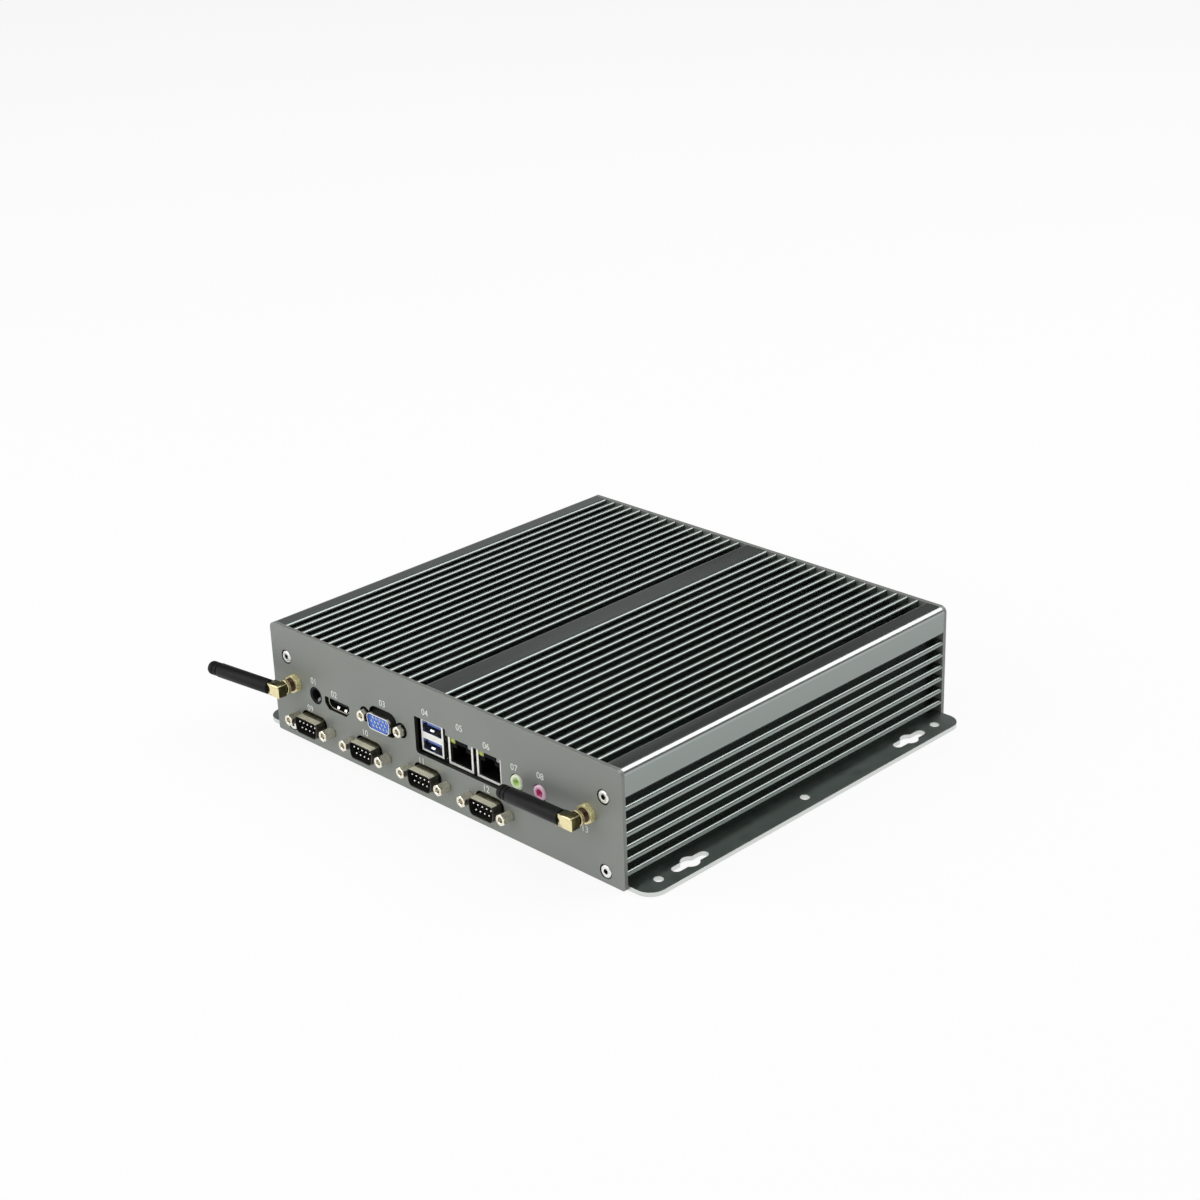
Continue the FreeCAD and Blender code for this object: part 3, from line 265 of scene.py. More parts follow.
# Distance of points that are welded, in millimetres, and greatest angles that are shaded smooth, in degrees
WELD = 0.001
SMOOTH_TO = 32
FLAT_TO = 5

# Sizes of a direction's part along an axis, for telling faces and upright axes apart
WALL_LIMIT = 0.5
FLANK_LIMIT = 0.6
RIM_LIMIT = 0.9
FLAT_LIMIT = 0.95
UPRIGHT_LIMIT = 0.9

# Numbers of a piece's materials; the last two are painted shade on shell flanks and on a band of a shell
PLAIN, DARK, SHADED_FLANK, SHADED_BAND = range(4)

# Edge wear and bump: turn of the normal, strength, patches in cycles and depth in millimetres
WEAR_TURN = (0.86, 0.995)
WEAR_STRENGTH = (0.3, 0.65)
WEAR_PATCH = 0.4
UPRIGHT_TURN = (0.2, 0.6)
GLOSS_PATCHES = 4
BUMP_DEPTH = 0.05
BEVEL_SAMPLES = 4

# Camera fitted to the photograph's edges, in metres, degrees and pixels, on a sensor in millimetres
CAMERA_PLACE = (0.6825315, -0.6742573, 0.4794031)
CAMERA_HEADING = 135.50868
CAMERA_TILT = -23.48996
CAMERA_ROLL = -2.08009
FOCAL_PIXELS = 2269.024
PICTURE_PIXELS = 1200
SENSOR = 36.0

# Floor in metres, its share of glow, and the sky's brightness by the height of the direction
FLOOR_SIZE = 8.0
FLOOR_CELLS = 8
FLOOR_DROP = 0.0002
FLOOR_WHITE = (0.92, 0.92, 0.92, 1)
FLOOR_GLOW = 0.9
WHITE = (1, 1, 1, 1)
SKY = ((0.0, 1.0), (0.08, 0.8), (0.2, 0.24), (0.45, 0.09), (1.0, 0.09))

# Lamps: name, place, direction of the first side, size in metres and power in watts
LAMPS = [
    ("front_softbox", (-0.8, -1.65, 1.05), (0.9, -0.436, 0), (2.6, 1.5), 26.5),
    ("rear_softbox", (0.59, 1.365, 1.64), (0.94, 0, -0.34), (1.6, 1.25), 17),
    ("left_softbox", (-1.66, 1.26, 0.75), (0.6, 0.8, 0), (0.8, 0.4), 0.28),
    ("top_softbox", (0, 0.1, 1.9), (1, 0, 0), (2.4, 2.4), 21),
]
LAMP_AIM = (0, 0, 0.03)


# Rows, and radii around an axis

def spaced(count, pitch):
    """Evenly spaced places around zero."""
    return [(i - (count - 1) / 2) * pitch for i in range(count)]


def hexagon(across_flats):
    """Radius of a hexagon as a function of the angle."""
    step = math.pi / 3
    inner = across_flats / 2
    return lambda a: inner / math.cos(a % step - step / 2)


def within(radius, limit):
    """Radius function that stays inside a circle."""
    return lambda a: min(radius(a), limit)


def thread(radius, depth, pitch, along):
    """Radius of a screw thread at one distance along its axis."""
    return lambda a: radius - depth * abs(2 * ((along / pitch + a / (2 * math.pi)) % 1) - 1)


def knurl(radius, depth, teeth):
    """Radius of a ring with fine teeth."""
    return lambda a: radius - depth * (0.5 - 0.5 * math.cos(teeth * a))


def cushion(height, width, share):
    """Radius of a rounded rectangle, as a share of its full size."""
    return lambda a: share / ((abs(math.cos(a)) / height) ** 4 + (abs(math.sin(a)) / width) ** 4) ** 0.25


def rounded_end(radius, end, rounding, steps=4):
    """Rings of a quarter-round from the side of a rod to its end, so far inward and so far back."""
    inward, back = rounding
    rings = []
    # Radii are rounded, so that a full tip ends at a radius of exactly zero
    for i in range(steps + 1):
        a = math.pi / 2 * i / steps
        rings.append((round(radius - inward * (1 - math.cos(a)), 6), end - back * (1 - math.sin(a))))
    return rings


def rounded_start(radius, start, rounding, steps=4):
    """Rings of a quarter-round from the start of a rod to its side."""
    mirrored = rounded_end(radius, -start, rounding, steps)
    return [(r, -along) for r, along in reversed(mirrored)]


# Mesh building

def ring(bm, middle, u, v, radius, sides):
    """Vertices of one ring, or its middle alone where the radius is zero."""
    if radius == 0:
        return [bm.verts.new(middle * MM)]
    row = []
    for i in range(sides):
        a = 2 * math.pi * i / sides
        r = radius(a) if callable(radius) else radius
        row.append(bm.verts.new((middle + (u * math.cos(a) + v * math.sin(a)) * r) * MM))
    return row


def wall(bm, low, high, sides, finish):
    """Adds the faces between two rings, with a numbered material."""
    for i in range(sides):
        j = (i + 1) % sides
        if len(low) == 1:
            corners = (low[0], high[j], high[i])
        elif len(high) == 1:
            corners = (low[i], low[j], high[0])
        else:
            corners = (low[i], low[j], high[j], high[i])
        bm.faces.new(corners).material_index = finish


def turned(bm, place, rings, sides, axis=FORWARD, loop=False, dark_from=math.inf):
    """Adds a closed solid of rings, each a radius or radius function and a distance along the axis.

    A loop of rings is a tube. Faces from one numbered ring on get the dark material.
    """
    way = Vector(axis).normalized()
    up = Vector((0, 0, 1)) if abs(way.z) < UPRIGHT_LIMIT else Vector((1, 0, 0))
    u = (up - way * up.dot(way)).normalized()
    v = way.cross(u)
    rows = [ring(bm, Vector(place) + way * along, u, v, radius, sides) for radius, along in rings]
    pairs = list(zip(rows, rows[1:]))
    if loop:
        pairs.append((rows[-1], rows[0]))
    for number, (low, high) in enumerate(pairs):
        wall(bm, low, high, sides, DARK if number >= dark_from else PLAIN)
    if loop:
        return
    for row in (rows[0][::-1], rows[-1]):
        if len(row) > 1:
            bm.faces.new(row)


def bar(bm, points, size, flat=(1, 0, 0)):
    """Adds a flat strip of metal along points, its size a width along one direction and a thickness."""
    width, thick = size
    side = Vector(flat) * width / 2
    path = [Vector(p) for p in points]
    rows = []
    for i, here in enumerate(path):
        along = path[min(i + 1, len(path) - 1)] - path[max(i - 1, 0)]
        out = along.cross(side).normalized() * thick / 2
        rows.append([bm.verts.new((here + a * side + b * out) * MM)
                     for a, b in ((-1, -1), (1, -1), (1, 1), (-1, 1))])
    for low, high in zip(rows, rows[1:]):
        wall(bm, low, high, len(low), PLAIN)
    bm.faces.new(rows[0][::-1])
    bm.faces.new(rows[-1])


def strip(bm, x, z, path, size):
    """Adds a strip whose path says how far it lies behind the front and above a height."""
    bar(bm, [(x, FRONT + depth, z + rise) for depth, rise in path], size)


def copy_of(node):
    """Mesh in the making with the shape of a CAD node."""
    bm = bmesh.new()
    bm.from_mesh(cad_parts[node].data)
    bmesh.ops.remove_doubles(bm, verts=bm.verts, dist=WELD * MM)
    bmesh.ops.recalc_face_normals(bm, faces=bm.faces)
    for face in bm.faces:
        face.material_index = PLAIN
    return bm


def cut_away(bm, cutter):
    """Mesh in the making with another cut out of it."""
    objects = []
    for part in (bm, cutter):
        bmesh.ops.recalc_face_normals(part, faces=part.faces)
        mesh = bpy.data.meshes.new("cutting")
        part.to_mesh(mesh)
        part.free()
        objects.append(bpy.data.objects.new("cutting", mesh))
        bpy.context.scene.collection.objects.link(objects[-1])
    tool = objects[0].modifiers.new("cut", "BOOLEAN")
    tool.operation = "DIFFERENCE"
    tool.solver = "EXACT"
    tool.object = objects[1]
    result = bmesh.new()
    result.from_object(objects[0], bpy.context.evaluated_depsgraph_get())
    for obj in objects:
        mesh = obj.data
        bpy.data.objects.remove(obj)
        bpy.data.meshes.remove(mesh)
    return result


def piece(name, bm, materials, body="base", nodes=(), sharp=SMOOTH_TO):
    """Makes an object of a mesh in the making, with its materials, body and replaced nodes."""
    bmesh.ops.recalc_face_normals(bm, faces=bm.faces)
    mesh = bpy.data.meshes.new(name)
    bm.to_mesh(mesh)
    bm.free()
    mesh.shade_smooth()
    mesh.set_sharp_from_angle(angle=math.radians(sharp))
    for material in materials:
        mesh.materials.append(material)
    obj = bpy.data.objects.new(name, mesh)
    bpy.context.scene.collection.objects.link(obj)
    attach(obj, body)
    if nodes:
        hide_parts(*nodes)


# Shader nodes

def add(tree, kind, inputs=None, **settings):
    """Adds a node with its settings and unlinked input values."""
    item = tree.nodes.new(kind)
    for key, value in settings.items():
        setattr(item, key, value)
    for key, value in (inputs or {}).items():
        item.inputs[key].default_value = value
    return item


def noise(tree, vector, scale, detail=3.0, roughness=0.55):
    """Noise texture on a vector, scale in cycles per millimetre."""
    item = add(tree, "ShaderNodeTexNoise", {"Scale": scale / MM, "Detail": detail, "Roughness": roughness})
    tree.links.new(vector, item.inputs["Vector"])
    return item.outputs["Fac"]


def spread(tree, value, low, high, start=0.3, end=0.7):
    """Spreads a value from start..end to low..high."""
    item = add(tree, "ShaderNodeMapRange",
               {"From Min": start, "From Max": end, "To Min": low, "To Max": high})
    tree.links.new(value, item.inputs["Value"])
    return item.outputs["Result"]


def spread_length(tree, value, low, high, ends):
    """Spreads a length between two ends in millimetres to low..high."""
    return spread(tree, value, low, high, ends[0] * MM, ends[1] * MM)


def mix(tree, factor, first, second):
    """Mixes two colours, each a socket or a triple."""
    item = add(tree, "ShaderNodeMix", data_type="RGBA")
    for socket, value in ((item.inputs[6], first), (item.inputs[7], second)):
        if isinstance(value, bpy.types.NodeSocket):
            tree.links.new(value, socket)
        else:
            socket.default_value = (*value, 1)
    tree.links.new(factor, item.inputs[0])
    return item.outputs[2]


def combine(tree, operation, first, second):
    """Sum, product or maximum of two values."""
    item = add(tree, "ShaderNodeMath", operation=operation)
    tree.links.new(first, item.inputs[0])
    tree.links.new(second, item.inputs[1])
    return item.outputs[0]


def size_of(tree, value):
    """Value without its sign."""
    item = add(tree, "ShaderNodeMath", operation="ABSOLUTE")
    tree.links.new(value, item.inputs[0])
    return item.outputs[0]


def parts_of(tree, vector):
    """Outputs with the three parts of a vector."""
    item = add(tree, "ShaderNodeSeparateXYZ")
    tree.links.new(vector, item.inputs[0])
    return item.outputs


def either_shader(tree, factor, first, second):
    """Shader that turns from the first to the second with a factor."""
    item = add(tree, "ShaderNodeMixShader")
    for socket, value in zip(item.inputs, (factor, first, second)):
        tree.links.new(value, socket)
    return item.outputs[0]


# Materials

def tint(colour, factor):
    """Colour made lighter or darker."""
    return tuple(min(c * factor, 1.0) for c in colour)


def uneven(tree, place, colour, vary, patch):
    """Colour that varies in soft patches."""
    mask = spread(tree, noise(tree, place, patch), 0, 1)
    return mix(tree, mask, tint(colour, 1 - vary), tint(colour, 1 + vary))


def worn_edges(tree, place, soft):
    """Broken mask of the edges that a softened normal turns away from."""
    flat = add(tree, "ShaderNodeNewGeometry").outputs["Normal"]
    turn = add(tree, "ShaderNodeVectorMath", operation="DOT_PRODUCT")
    tree.links.new(flat, turn.inputs[0])
    tree.links.new(soft, turn.inputs[1])
    edges = spread(tree, turn.outputs["Value"], 1, 0, *WEAR_TURN)
    return combine(tree, "MULTIPLY", edges, spread(tree, noise(tree, place, WEAR_PATCH), *WEAR_STRENGTH))


def housing_marks(tree, place):
    """Masks of the painted highlight on the housing's rounded upper edges and of the painted shade in its
    side grooves.
    """
    parts = parts_of(tree, place)
    across = size_of(tree, parts["X"])
    rounding = spread_length(tree, combine(tree, "ADD", across, parts["Z"]), 0, 1, ROUNDING)
    deep = spread_length(tree, across, 1, 0, GROOVE_X)
    low = spread_length(tree, parts["Z"], 1, 0, GROOVE_TOP)
    return rounding, combine(tree, "MULTIPLY", deep, low)


def upright_faces(tree):
    """Mask of the faces that stand upright."""
    parts = parts_of(tree, add(tree, "ShaderNodeNewGeometry").outputs["True Normal"])
    return spread(tree, size_of(tree, parts["Z"]), 1, 0, *UPRIGHT_TURN)


def relief(tree, place, soft, grain, bump):
    """Normal with a fine bump on softened edges."""
    raised = add(tree, "ShaderNodeBump", {"Strength": bump, "Distance": BUMP_DEPTH * MM})
    tree.links.new(noise(tree, place, grain, detail=2.0), raised.inputs["Height"])
    tree.links.new(soft, raised.inputs["Normal"])
    return raised.outputs[0]


def blank(name, values):
    """New material, its node tree and its shader with some values set."""
    material = bpy.data.materials.new(name)
    material.use_nodes = True
    shader = material.node_tree.nodes["Principled BSDF"]
    for key, value in values.items():
        shader.inputs[key].default_value = value
    return material, material.node_tree, shader


def places_on(tree, stretch):
    """Place on the object, plain and stretched."""
    place = add(tree, "ShaderNodeTexCoord").outputs["Object"]
    fit = add(tree, "ShaderNodeMapping", {"Scale": stretch})
    tree.links.new(place, fit.inputs["Vector"])
    return place, fit.outputs[0]


def surface(name, colour, metallic=0.0, rough=(0.35, 0.5), vary=0.08, patch=0.05, grain=2.0, bump=0.1,
            stretch=(1, 1, 1), wear=None, upright_highlight=None, highlight_and_shade=None, edge=0.15, values=None):
    """Material with uneven tone and gloss, a fine bump and softened edges.

    Where they are given, wear is the colour of worn edges, the upright colour a painted highlight on upright
    faces, and the housing's two colours a painted highlight on its roundings and painted shade in its
    grooves.
    """
    material, tree, shader = blank(name, {"Metallic": metallic, **(values or {})})
    place, fitted = places_on(tree, stretch)
    soft = add(tree, "ShaderNodeBevel", {"Radius": edge * MM}, samples=BEVEL_SAMPLES).outputs[0]
    tone = uneven(tree, fitted, colour, vary, patch)
    # Painted highlight on the housing's roundings and painted shade in its side grooves
    if highlight_and_shade:
        for mask, shade in zip(housing_marks(tree, place), highlight_and_shade):
            tone = mix(tree, mask, tone, shade)
    if wear:
        tone = mix(tree, worn_edges(tree, fitted, soft), tone, wear)
    # Painted highlight: upright faces lighter than the rest
    if upright_highlight:
        tone = mix(tree, upright_faces(tree), tone, upright_highlight)
    gloss = spread(tree, noise(tree, fitted, patch * GLOSS_PATCHES), *rough)
    tree.links.new(tone, shader.inputs["Base Color"])
    tree.links.new(gloss, shader.inputs["Roughness"])
    tree.links.new(relief(tree, fitted, soft, grain, bump), shader.inputs["Normal"])
    return material


# Colours, gloss and grain that several materials share
CASE = (0.265, 0.295, 0.28)
BARE = (0.66, 0.65, 0.66)
# Painted highlight on the housing's rounded upper edges, and painted shade in its side grooves
PAINTED_EDGE_HIGHLIGHT = (0.43, 0.46, 0.45)
SHADED = tint(CASE, 0.75)
TIN = (0.87, 0.86, 0.82)
ALONG_Y = (1, 0.04, 1)
ALONG_Z = (1, 1, 0.06)
SATIN = {"Specular IOR Level": 0.3}
LOW_GLOSS = {"Specular IOR Level": 0.2}
MATT = {"Specular IOR Level": 0.1}
PLATED = {"patch": 0.3, "grain": 0.5, "bump": 0.012}
BRIGHT = {"vary": 0.05, "patch": 0.12, "grain": 0.5, "bump": 0.012}
# Gloss and grain of the metals in painted shade
SHADE_GRAIN = {"rough": (0.3, 0.42), "grain": 0.8, "bump": 0.02}
MOULDED = {"patch": 0.2, "grain": 1.5, "bump": 0.03}
COARSE = {"vary": 0.2, "patch": 0.2, "grain": 3.0, "bump": 0.06}
CLEAR = {"rough": (0.15, 0.25), "patch": 0.3, "grain": 1.0, "bump": 0.03}

# Housing, panels and screws
extrusion = surface("anodised_extrusion", CASE, metallic=1.0, rough=(0.2, 0.28), vary=0.06, patch=0.04,
                    grain=1.6, bump=0.04, stretch=ALONG_Y, wear=BARE, highlight_and_shade=(PAINTED_EDGE_HIGHLIGHT, SHADED), edge=0.25)
panel_metal = surface("anodised_panel", (0.240, 0.255, 0.234), metallic=0.35, rough=(0.42, 0.5), vary=0.04,
                      patch=0.03, grain=2.6, bump=0.1, wear=BARE, edge=0.2)
# Base plate with a painted highlight on its upright faces
base_metal = surface("anodised_base", tint(CASE, 1.25), metallic=1.0, rough=(0.3, 0.38), vary=0.06,
                     patch=0.03, grain=2.2, bump=0.05, wear=BARE, upright_highlight=(0.66, 0.68, 0.66), edge=0.25)
zinc = surface("bright_zinc", (0.88, 0.88, 0.85), metallic=0.7, rough=(0.24, 0.34), vary=0.06, patch=0.3,
               grain=0.8, bump=0.02)

# Plated metal of the sockets and antennas
# Near-black painted shade for window walls, screw key sockets, socket linings and flanges
shade_black = surface("painted_shade_black", (0.02, 0.02, 0.018), metallic=0.3, rough=(0.5, 0.65), vary=0.2,
                      patch=0.5, grain=1.5, bump=0.05, values=SATIN)
nickel = surface("nickel_plate", (0.95, 0.89, 0.71), metallic=0.6, rough=(0.3, 0.42), vary=0.1, **PLATED)
post_nickel = surface("post_nickel", (0.86, 0.82, 0.70), metallic=1.0, rough=(0.2, 0.3), vary=0.1, edge=0.03,
                      **PLATED)
# Painted shade on the flanks and rims of the serial shells
shaded_flank_nickel = surface("shaded_flank_nickel", (0.09, 0.085, 0.07), metallic=0.9, rough=(0.3, 0.42), vary=0.15,
                      **PLATED)
spring_steel = surface("spring_steel", (0.30, 0.30, 0.29), metallic=0.9, rough=(0.3, 0.4), **PLATED)
# Painted shade with speckled painted reflection on a band of the serial shells near the panel
shaded_band_nickel = surface("shaded_band_nickel", (0.32, 0.29, 0.19), metallic=0.9, vary=0.45, patch=0.7, **SHADE_GRAIN)
satin_tin = surface("satin_tin", TIN, metallic=0.25, rough=(0.25, 0.35), **BRIGHT)
tin = surface("tin_plate", TIN, metallic=1.0, rough=(0.16, 0.26), **BRIGHT)
gold = surface("gold_plate", (0.84, 0.75, 0.44), metallic=1.0, rough=(0.13, 0.22), patch=0.15, grain=0.5,
               bump=0.012)
satin_gold = surface("satin_gold", (0.88, 0.79, 0.42), metallic=0.5, rough=(0.22, 0.32), vary=0.1, patch=0.3,
                     grain=0.6, bump=0.015)
# Painted shade on the flat flanks of the antenna elbows
shaded_flank_gold = surface("painted_shade_gold", (0.11, 0.10, 0.04), metallic=1.0, vary=0.15, patch=0.3, **SHADE_GRAIN)
# Threaded barrels in brass darkened as painted shade
dark_brass = surface("dark_brass", (0.085, 0.048, 0.032), metallic=0.9, rough=(0.3, 0.42), vary=0.2,
                     patch=0.4, grain=1.0, bump=0.03)

# Plastic, rubber and print
black_plastic = surface("black_plastic", (0.006, 0.006, 0.0065), rough=(0.5, 0.65), values=SATIN, **COARSE)
deep_black = surface("matt_black_lining", (0.003, 0.003, 0.003), rough=(0.6, 0.75), values=MATT, **COARSE)
rubber = surface("antenna_rubber", (0.005, 0.005, 0.006), rough=(0.42, 0.52), vary=0.15, patch=0.1, grain=3.0,
                 bump=0.04, values=LOW_GLOSS)
blue_plastic = surface("blue_plastic", (0.05, 0.16, 0.62), rough=(0.3, 0.42), **MOULDED)
usb_blue = surface("dusk_blue_plastic", (0.10, 0.17, 0.52), rough=(0.3, 0.42), **MOULDED)
# Jack plastic in two colours: pale noses as painted highlight, deeper bores as painted shade
green_plastic = surface("green_plastic", (0.88, 0.98, 0.70), rough=(0.3, 0.4), vary=0.05, **MOULDED)
green_bore = surface("green_bore", (0.66, 0.98, 0.30), rough=(0.3, 0.4), **MOULDED)
pink_plastic = surface("pink_plastic", (0.98, 0.62, 0.78), rough=(0.3, 0.4), vary=0.05, **MOULDED)
pink_bore = surface("pink_bore", (0.88, 0.05, 0.30), rough=(0.3, 0.4), vary=0.1, **MOULDED)
link_lens = surface("link_lens", (0.40, 0.46, 0.09), vary=0.12, **CLEAR)
speed_lens = surface("speed_lens", (0.30, 0.31, 0.31), vary=0.06, **CLEAR)
print_white = surface("printed_white", (0.78, 0.80, 0.76), rough=(0.5, 0.6), vary=0.1, patch=1.2, grain=3.0,
                      bump=0.03, edge=0.02)

# Inside and rear
# Near-black board, darkened as painted shade inside the case
board_dark = surface("circuit_board", (0.004, 0.014, 0.007), rough=(0.5, 0.6), vary=0.3, patch=0.4, grain=0.8,
                     bump=0.1, values=MATT)
chip_metal = surface("chip_lid", (0.6, 0.6, 0.6), metallic=0.9, rough=(0.3, 0.4), patch=0.1, grain=1.2,
                     bump=0.03)
milled = surface("milled_block", (0.75, 0.75, 0.75), metallic=0.9, rough=(0.3, 0.45), vary=0.06, patch=0.1,
                 grain=1.0, bump=0.06, stretch=ALONG_Y)
button_steel = surface("brushed_steel", (0.62, 0.62, 0.60), metallic=1.0, rough=(0.22, 0.34), patch=0.3,
                       grain=1.2, bump=0.06, stretch=ALONG_Z)
lead_black = surface("lead_jacket", (0.012, 0.012, 0.012), rough=(0.4, 0.5), vary=0.15, patch=0.2, grain=2.0,
                     bump=0.05)

# Materials of the CAD nodes
NODE_MATERIALS = {
    extrusion: ["housing"],
    panel_metal: ["front_panel", "rear_panel"],
    base_metal: ["base_plate"],
    zinc: ["panel_screws", "base_screws"],
    nickel: ["digital_video_shell", "video_shell", "jackscrews", "serial_pins", "dc_inlet_pin",
             *(f"serial_{number}_shell" for number in SERIALS)],
    tin: ["usb_shell", "network_1_shell", "network_2_shell"],
    gold: ["antenna_nuts", "antenna_couplers", "antenna_left_elbow", "antenna_right_elbow",
           "board_standoffs"],
    dark_brass: ["antenna_left_socket", "antenna_right_socket"],
    black_plastic: ["dc_inlet_body", "digital_video_tongue", "memory_socket", "card_sockets", "serial_header",
                    *(f"serial_{number}_insert" for number in SERIALS)],
    deep_black: ["network_1_insert", "network_2_insert"],
    rubber: ["antenna_left_rod", "antenna_right_rod"],
    blue_plastic: ["video_insert"],
    usb_blue: ["usb_insulator"],
    green_plastic: ["audio_out_jack"],
    pink_plastic: ["audio_in_jack"],
    link_lens: ["network_link_lights"],
    speed_lens: ["network_speed_lights"],
    board_dark: ["main_board", "serial_board", "memory_module", "storage_card", "wireless_card"],
    chip_metal: ["processor"],
    milled: ["heat_block"],
    button_steel: ["power_button_body", "power_button_cap", "power_button_nut"],
    lead_black: ["antenna_left_lead", "antenna_right_lead", "power_lead"],
}


def dress_nodes():
    """Gives each CAD node its material."""
    for material, names in NODE_MATERIALS.items():
        for name in names:
            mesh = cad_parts[name].data
            mesh.materials.clear()
            mesh.materials.append(material)


# Panel, screws, posts and pins

def front_panel():
    """Front panel with painted shade, a near-black material, on the walls of its windows and holes."""
    bm = copy_of("front_panel")
    for face in bm.faces:
        middle = face.calc_center_median() / MM
        inside = abs(middle.x) < PANEL_INSIDE_X and PANEL_INSIDE_Z[0] < middle.z < PANEL_INSIDE_Z[1]
        face.material_index = DARK if inside and abs(face.normal.y) < WALL_LIMIT else PLAIN
    piece("front_panel_with_dark_windows", bm, [panel_metal, shade_black],
          nodes=["front_panel"], sharp=FLAT_TO)


def shank(length):
    """Rings of a screw's shank from its tip, up to where the tip's cone ends."""
    return [(0, -length), (SHANK_TIP_R, -length), (SHANK_R, SHANK_TIP - length)]


def panel_screws():
    """Low-headed socket screws in the recesses of both panels."""
    bm = bmesh.new()
    key = hexagon(PANEL_SCREW_KEY)
    outside = shank(PANEL_SCREW_LENGTH) + [(SHANK_R, 0.0), (HEAD_R, 0.0)]
    outside += rounded_end(HEAD_R, HEAD_H, HEAD_ROUNDING) + [(PANEL_KEY_LIP_R, HEAD_H)]
    edge, middle = PANEL_KEY_FLOOR
    rings = outside + [(key, HEAD_H - KEY_LIP), (key, edge), (0, middle)]
    for x, z in PANEL_SCREWS:
        for y, axis in ((FRONT + PANEL_SCREW_RECESS, FORWARD), (REAR - PANEL_SCREW_RECESS, BACKWARD)):
            # Painted shade in the key socket of each head
            turned(bm, (x, y, z), rings, FINE_SIDES, axis, dark_from=len(outside))
    piece("panel_socket_screws", bm, [zinc, shade_black], nodes=["panel_screws"])


def base_screws():
    """Flush countersunk socket screws under the base plate."""
    bm = bmesh.new()
    key = hexagon(BASE_SCREW_KEY)
    inward, back = SUNK_EDGE
    outside = shank(BASE_SCREW_LENGTH) + [(SHANK_R, -SUNK_H), (SUNK_R, -back), (SUNK_R - inward, 0.0)]
    edge, middle = BASE_KEY_FLOOR
    rings = outside + [(BASE_KEY_LIP_R, 0.0), (key, -KEY_LIP), (key, edge), (0, middle)]
    for x, y in BASE_SCREWS:
        # Painted shade in the key socket of each head
        turned(bm, (x, y, 0), rings, FINE_SIDES, DOWNWARD, dark_from=len(outside))
    piece("base_socket_screws", bm, [zinc, shade_black], nodes=["base_screws"])


def post_rings():
    """Rings of a hexagonal post with chamfered ends and a threaded bore."""
    flats = hexagon(POST_FLATS)
    cuts = [POST_CHAMFER * i / POST_CHAMFER_STEPS for i in range(POST_CHAMFER_STEPS + 1)]
    chamfer = [(within(flats, POST_END_R + POST_SLOPE * cut), cut) for cut in cuts]
    rings = [(POST_FOOT_R, 0.0)] + chamfer
    rings += [(radius, POST_LENGTH - cut) for radius, cut in reversed(chamfer)]
    rings += [(POST_MOUTH_R, POST_LENGTH), (POST_BORE_R, POST_LENGTH - POST_MOUTH)]
    rise, crest, fall = POST_THREAD_STEPS
    for i in range(POST_THREAD_TURNS):
        start = POST_LENGTH - POST_THREAD_START - i * POST_THREAD_PITCH
        rings += [(POST_BORE_R, start), (POST_THREAD_R, start - rise)]
        rings += [(POST_THREAD_R, start - crest), (POST_BORE_R, start - fall)]
    floor_at = POST_LENGTH - POST_BORE_DEPTH
    return rings + [(POST_BORE_R, floor_at), (0, floor_at - POST_BORE_TIP)]


def jackscrews():
    """Hexagonal posts at both sides of the serial and video sockets."""
    bm = bmesh.new()
    sockets = [(x, FRONT, SERIAL_Z) for x in SERIAL_X]
    sockets.append((VIDEO_X, FRONT + VIDEO_SETBACK, VIDEO_Z))
    for x, y, z in sockets:
        for side in SIDES:
            turned(bm, (x + side * POST_SPACING / 2, y, z), post_rings(), FINE_SIDES)
    piece("threaded_jackscrews", bm, [post_nickel], nodes=["jackscrews"])


def serial_pins():
    """Round-tipped contact pins of the four serial sockets."""
    bm = bmesh.new()
    rings = [(PIN_R, PIN_ROOT)] + rounded_end(PIN_R, PIN_REACH, (PIN_R, PIN_R))
    for x in SERIAL_X:
        for count, row in PIN_ROWS:
            for across in spaced(count, PIN_PITCH):
                turned(bm, (x + across, FRONT, SERIAL_Z + row), rings, PIN_SIDES)
    piece("round_serial_pins", bm, [tin], nodes=["serial_pins"])


# Sockets

def finish_behind(bm, depth, finish):
    """Gives a numbered material to all that lies behind a plane across y."""
    everything = [*bm.verts, *bm.edges, *bm.faces]
    bmesh.ops.bisect_plane(bm, geom=everything, plane_co=(0, depth * MM, 0), plane_no=BACKWARD)
    for face in bm.faces:
        if face.calc_center_median().y > depth * MM:
            face.material_index = finish


def dark_inside(bm, x, z):
    """Gives the dark material, painted shade, to the faces that look towards an axis along y."""
    for face in bm.faces:
        middle = face.calc_center_median() / MM
        outward = (middle.x - x) * face.normal.x + (middle.z - z) * face.normal.z
        if outward < 0 and abs(face.normal.y) < WALL_LIMIT:
            face.material_index = DARK


def video_contacts():
    """Tubes of the fifteen contacts, and the holes around them as a cutter."""
    holes = bmesh.new()
    tubes = bmesh.new()
    outer, inner = VIDEO_TUBE_R
    outer_start, inner_start = VIDEO_TUBE_START
    deep = -VIDEO_HOLE_DEPTH
    for row, shift in VIDEO_ROWS:
        for across in spaced(VIDEO_COLUMNS, VIDEO_PITCH):
            place = (VIDEO_X + shift + across, FRONT - VIDEO_FACE, VIDEO_Z + row)
            turned(holes, place, [(VIDEO_HOLE_R, VIDEO_HOLE_START), (VIDEO_HOLE_R, deep)], HOLE_SIDES)
            tube = [(outer, outer_start), (outer, deep), (inner, deep), (inner, inner_start)]
            turned(tubes, place, tube, HOLE_SIDES, loop=True)
    return tubes, holes


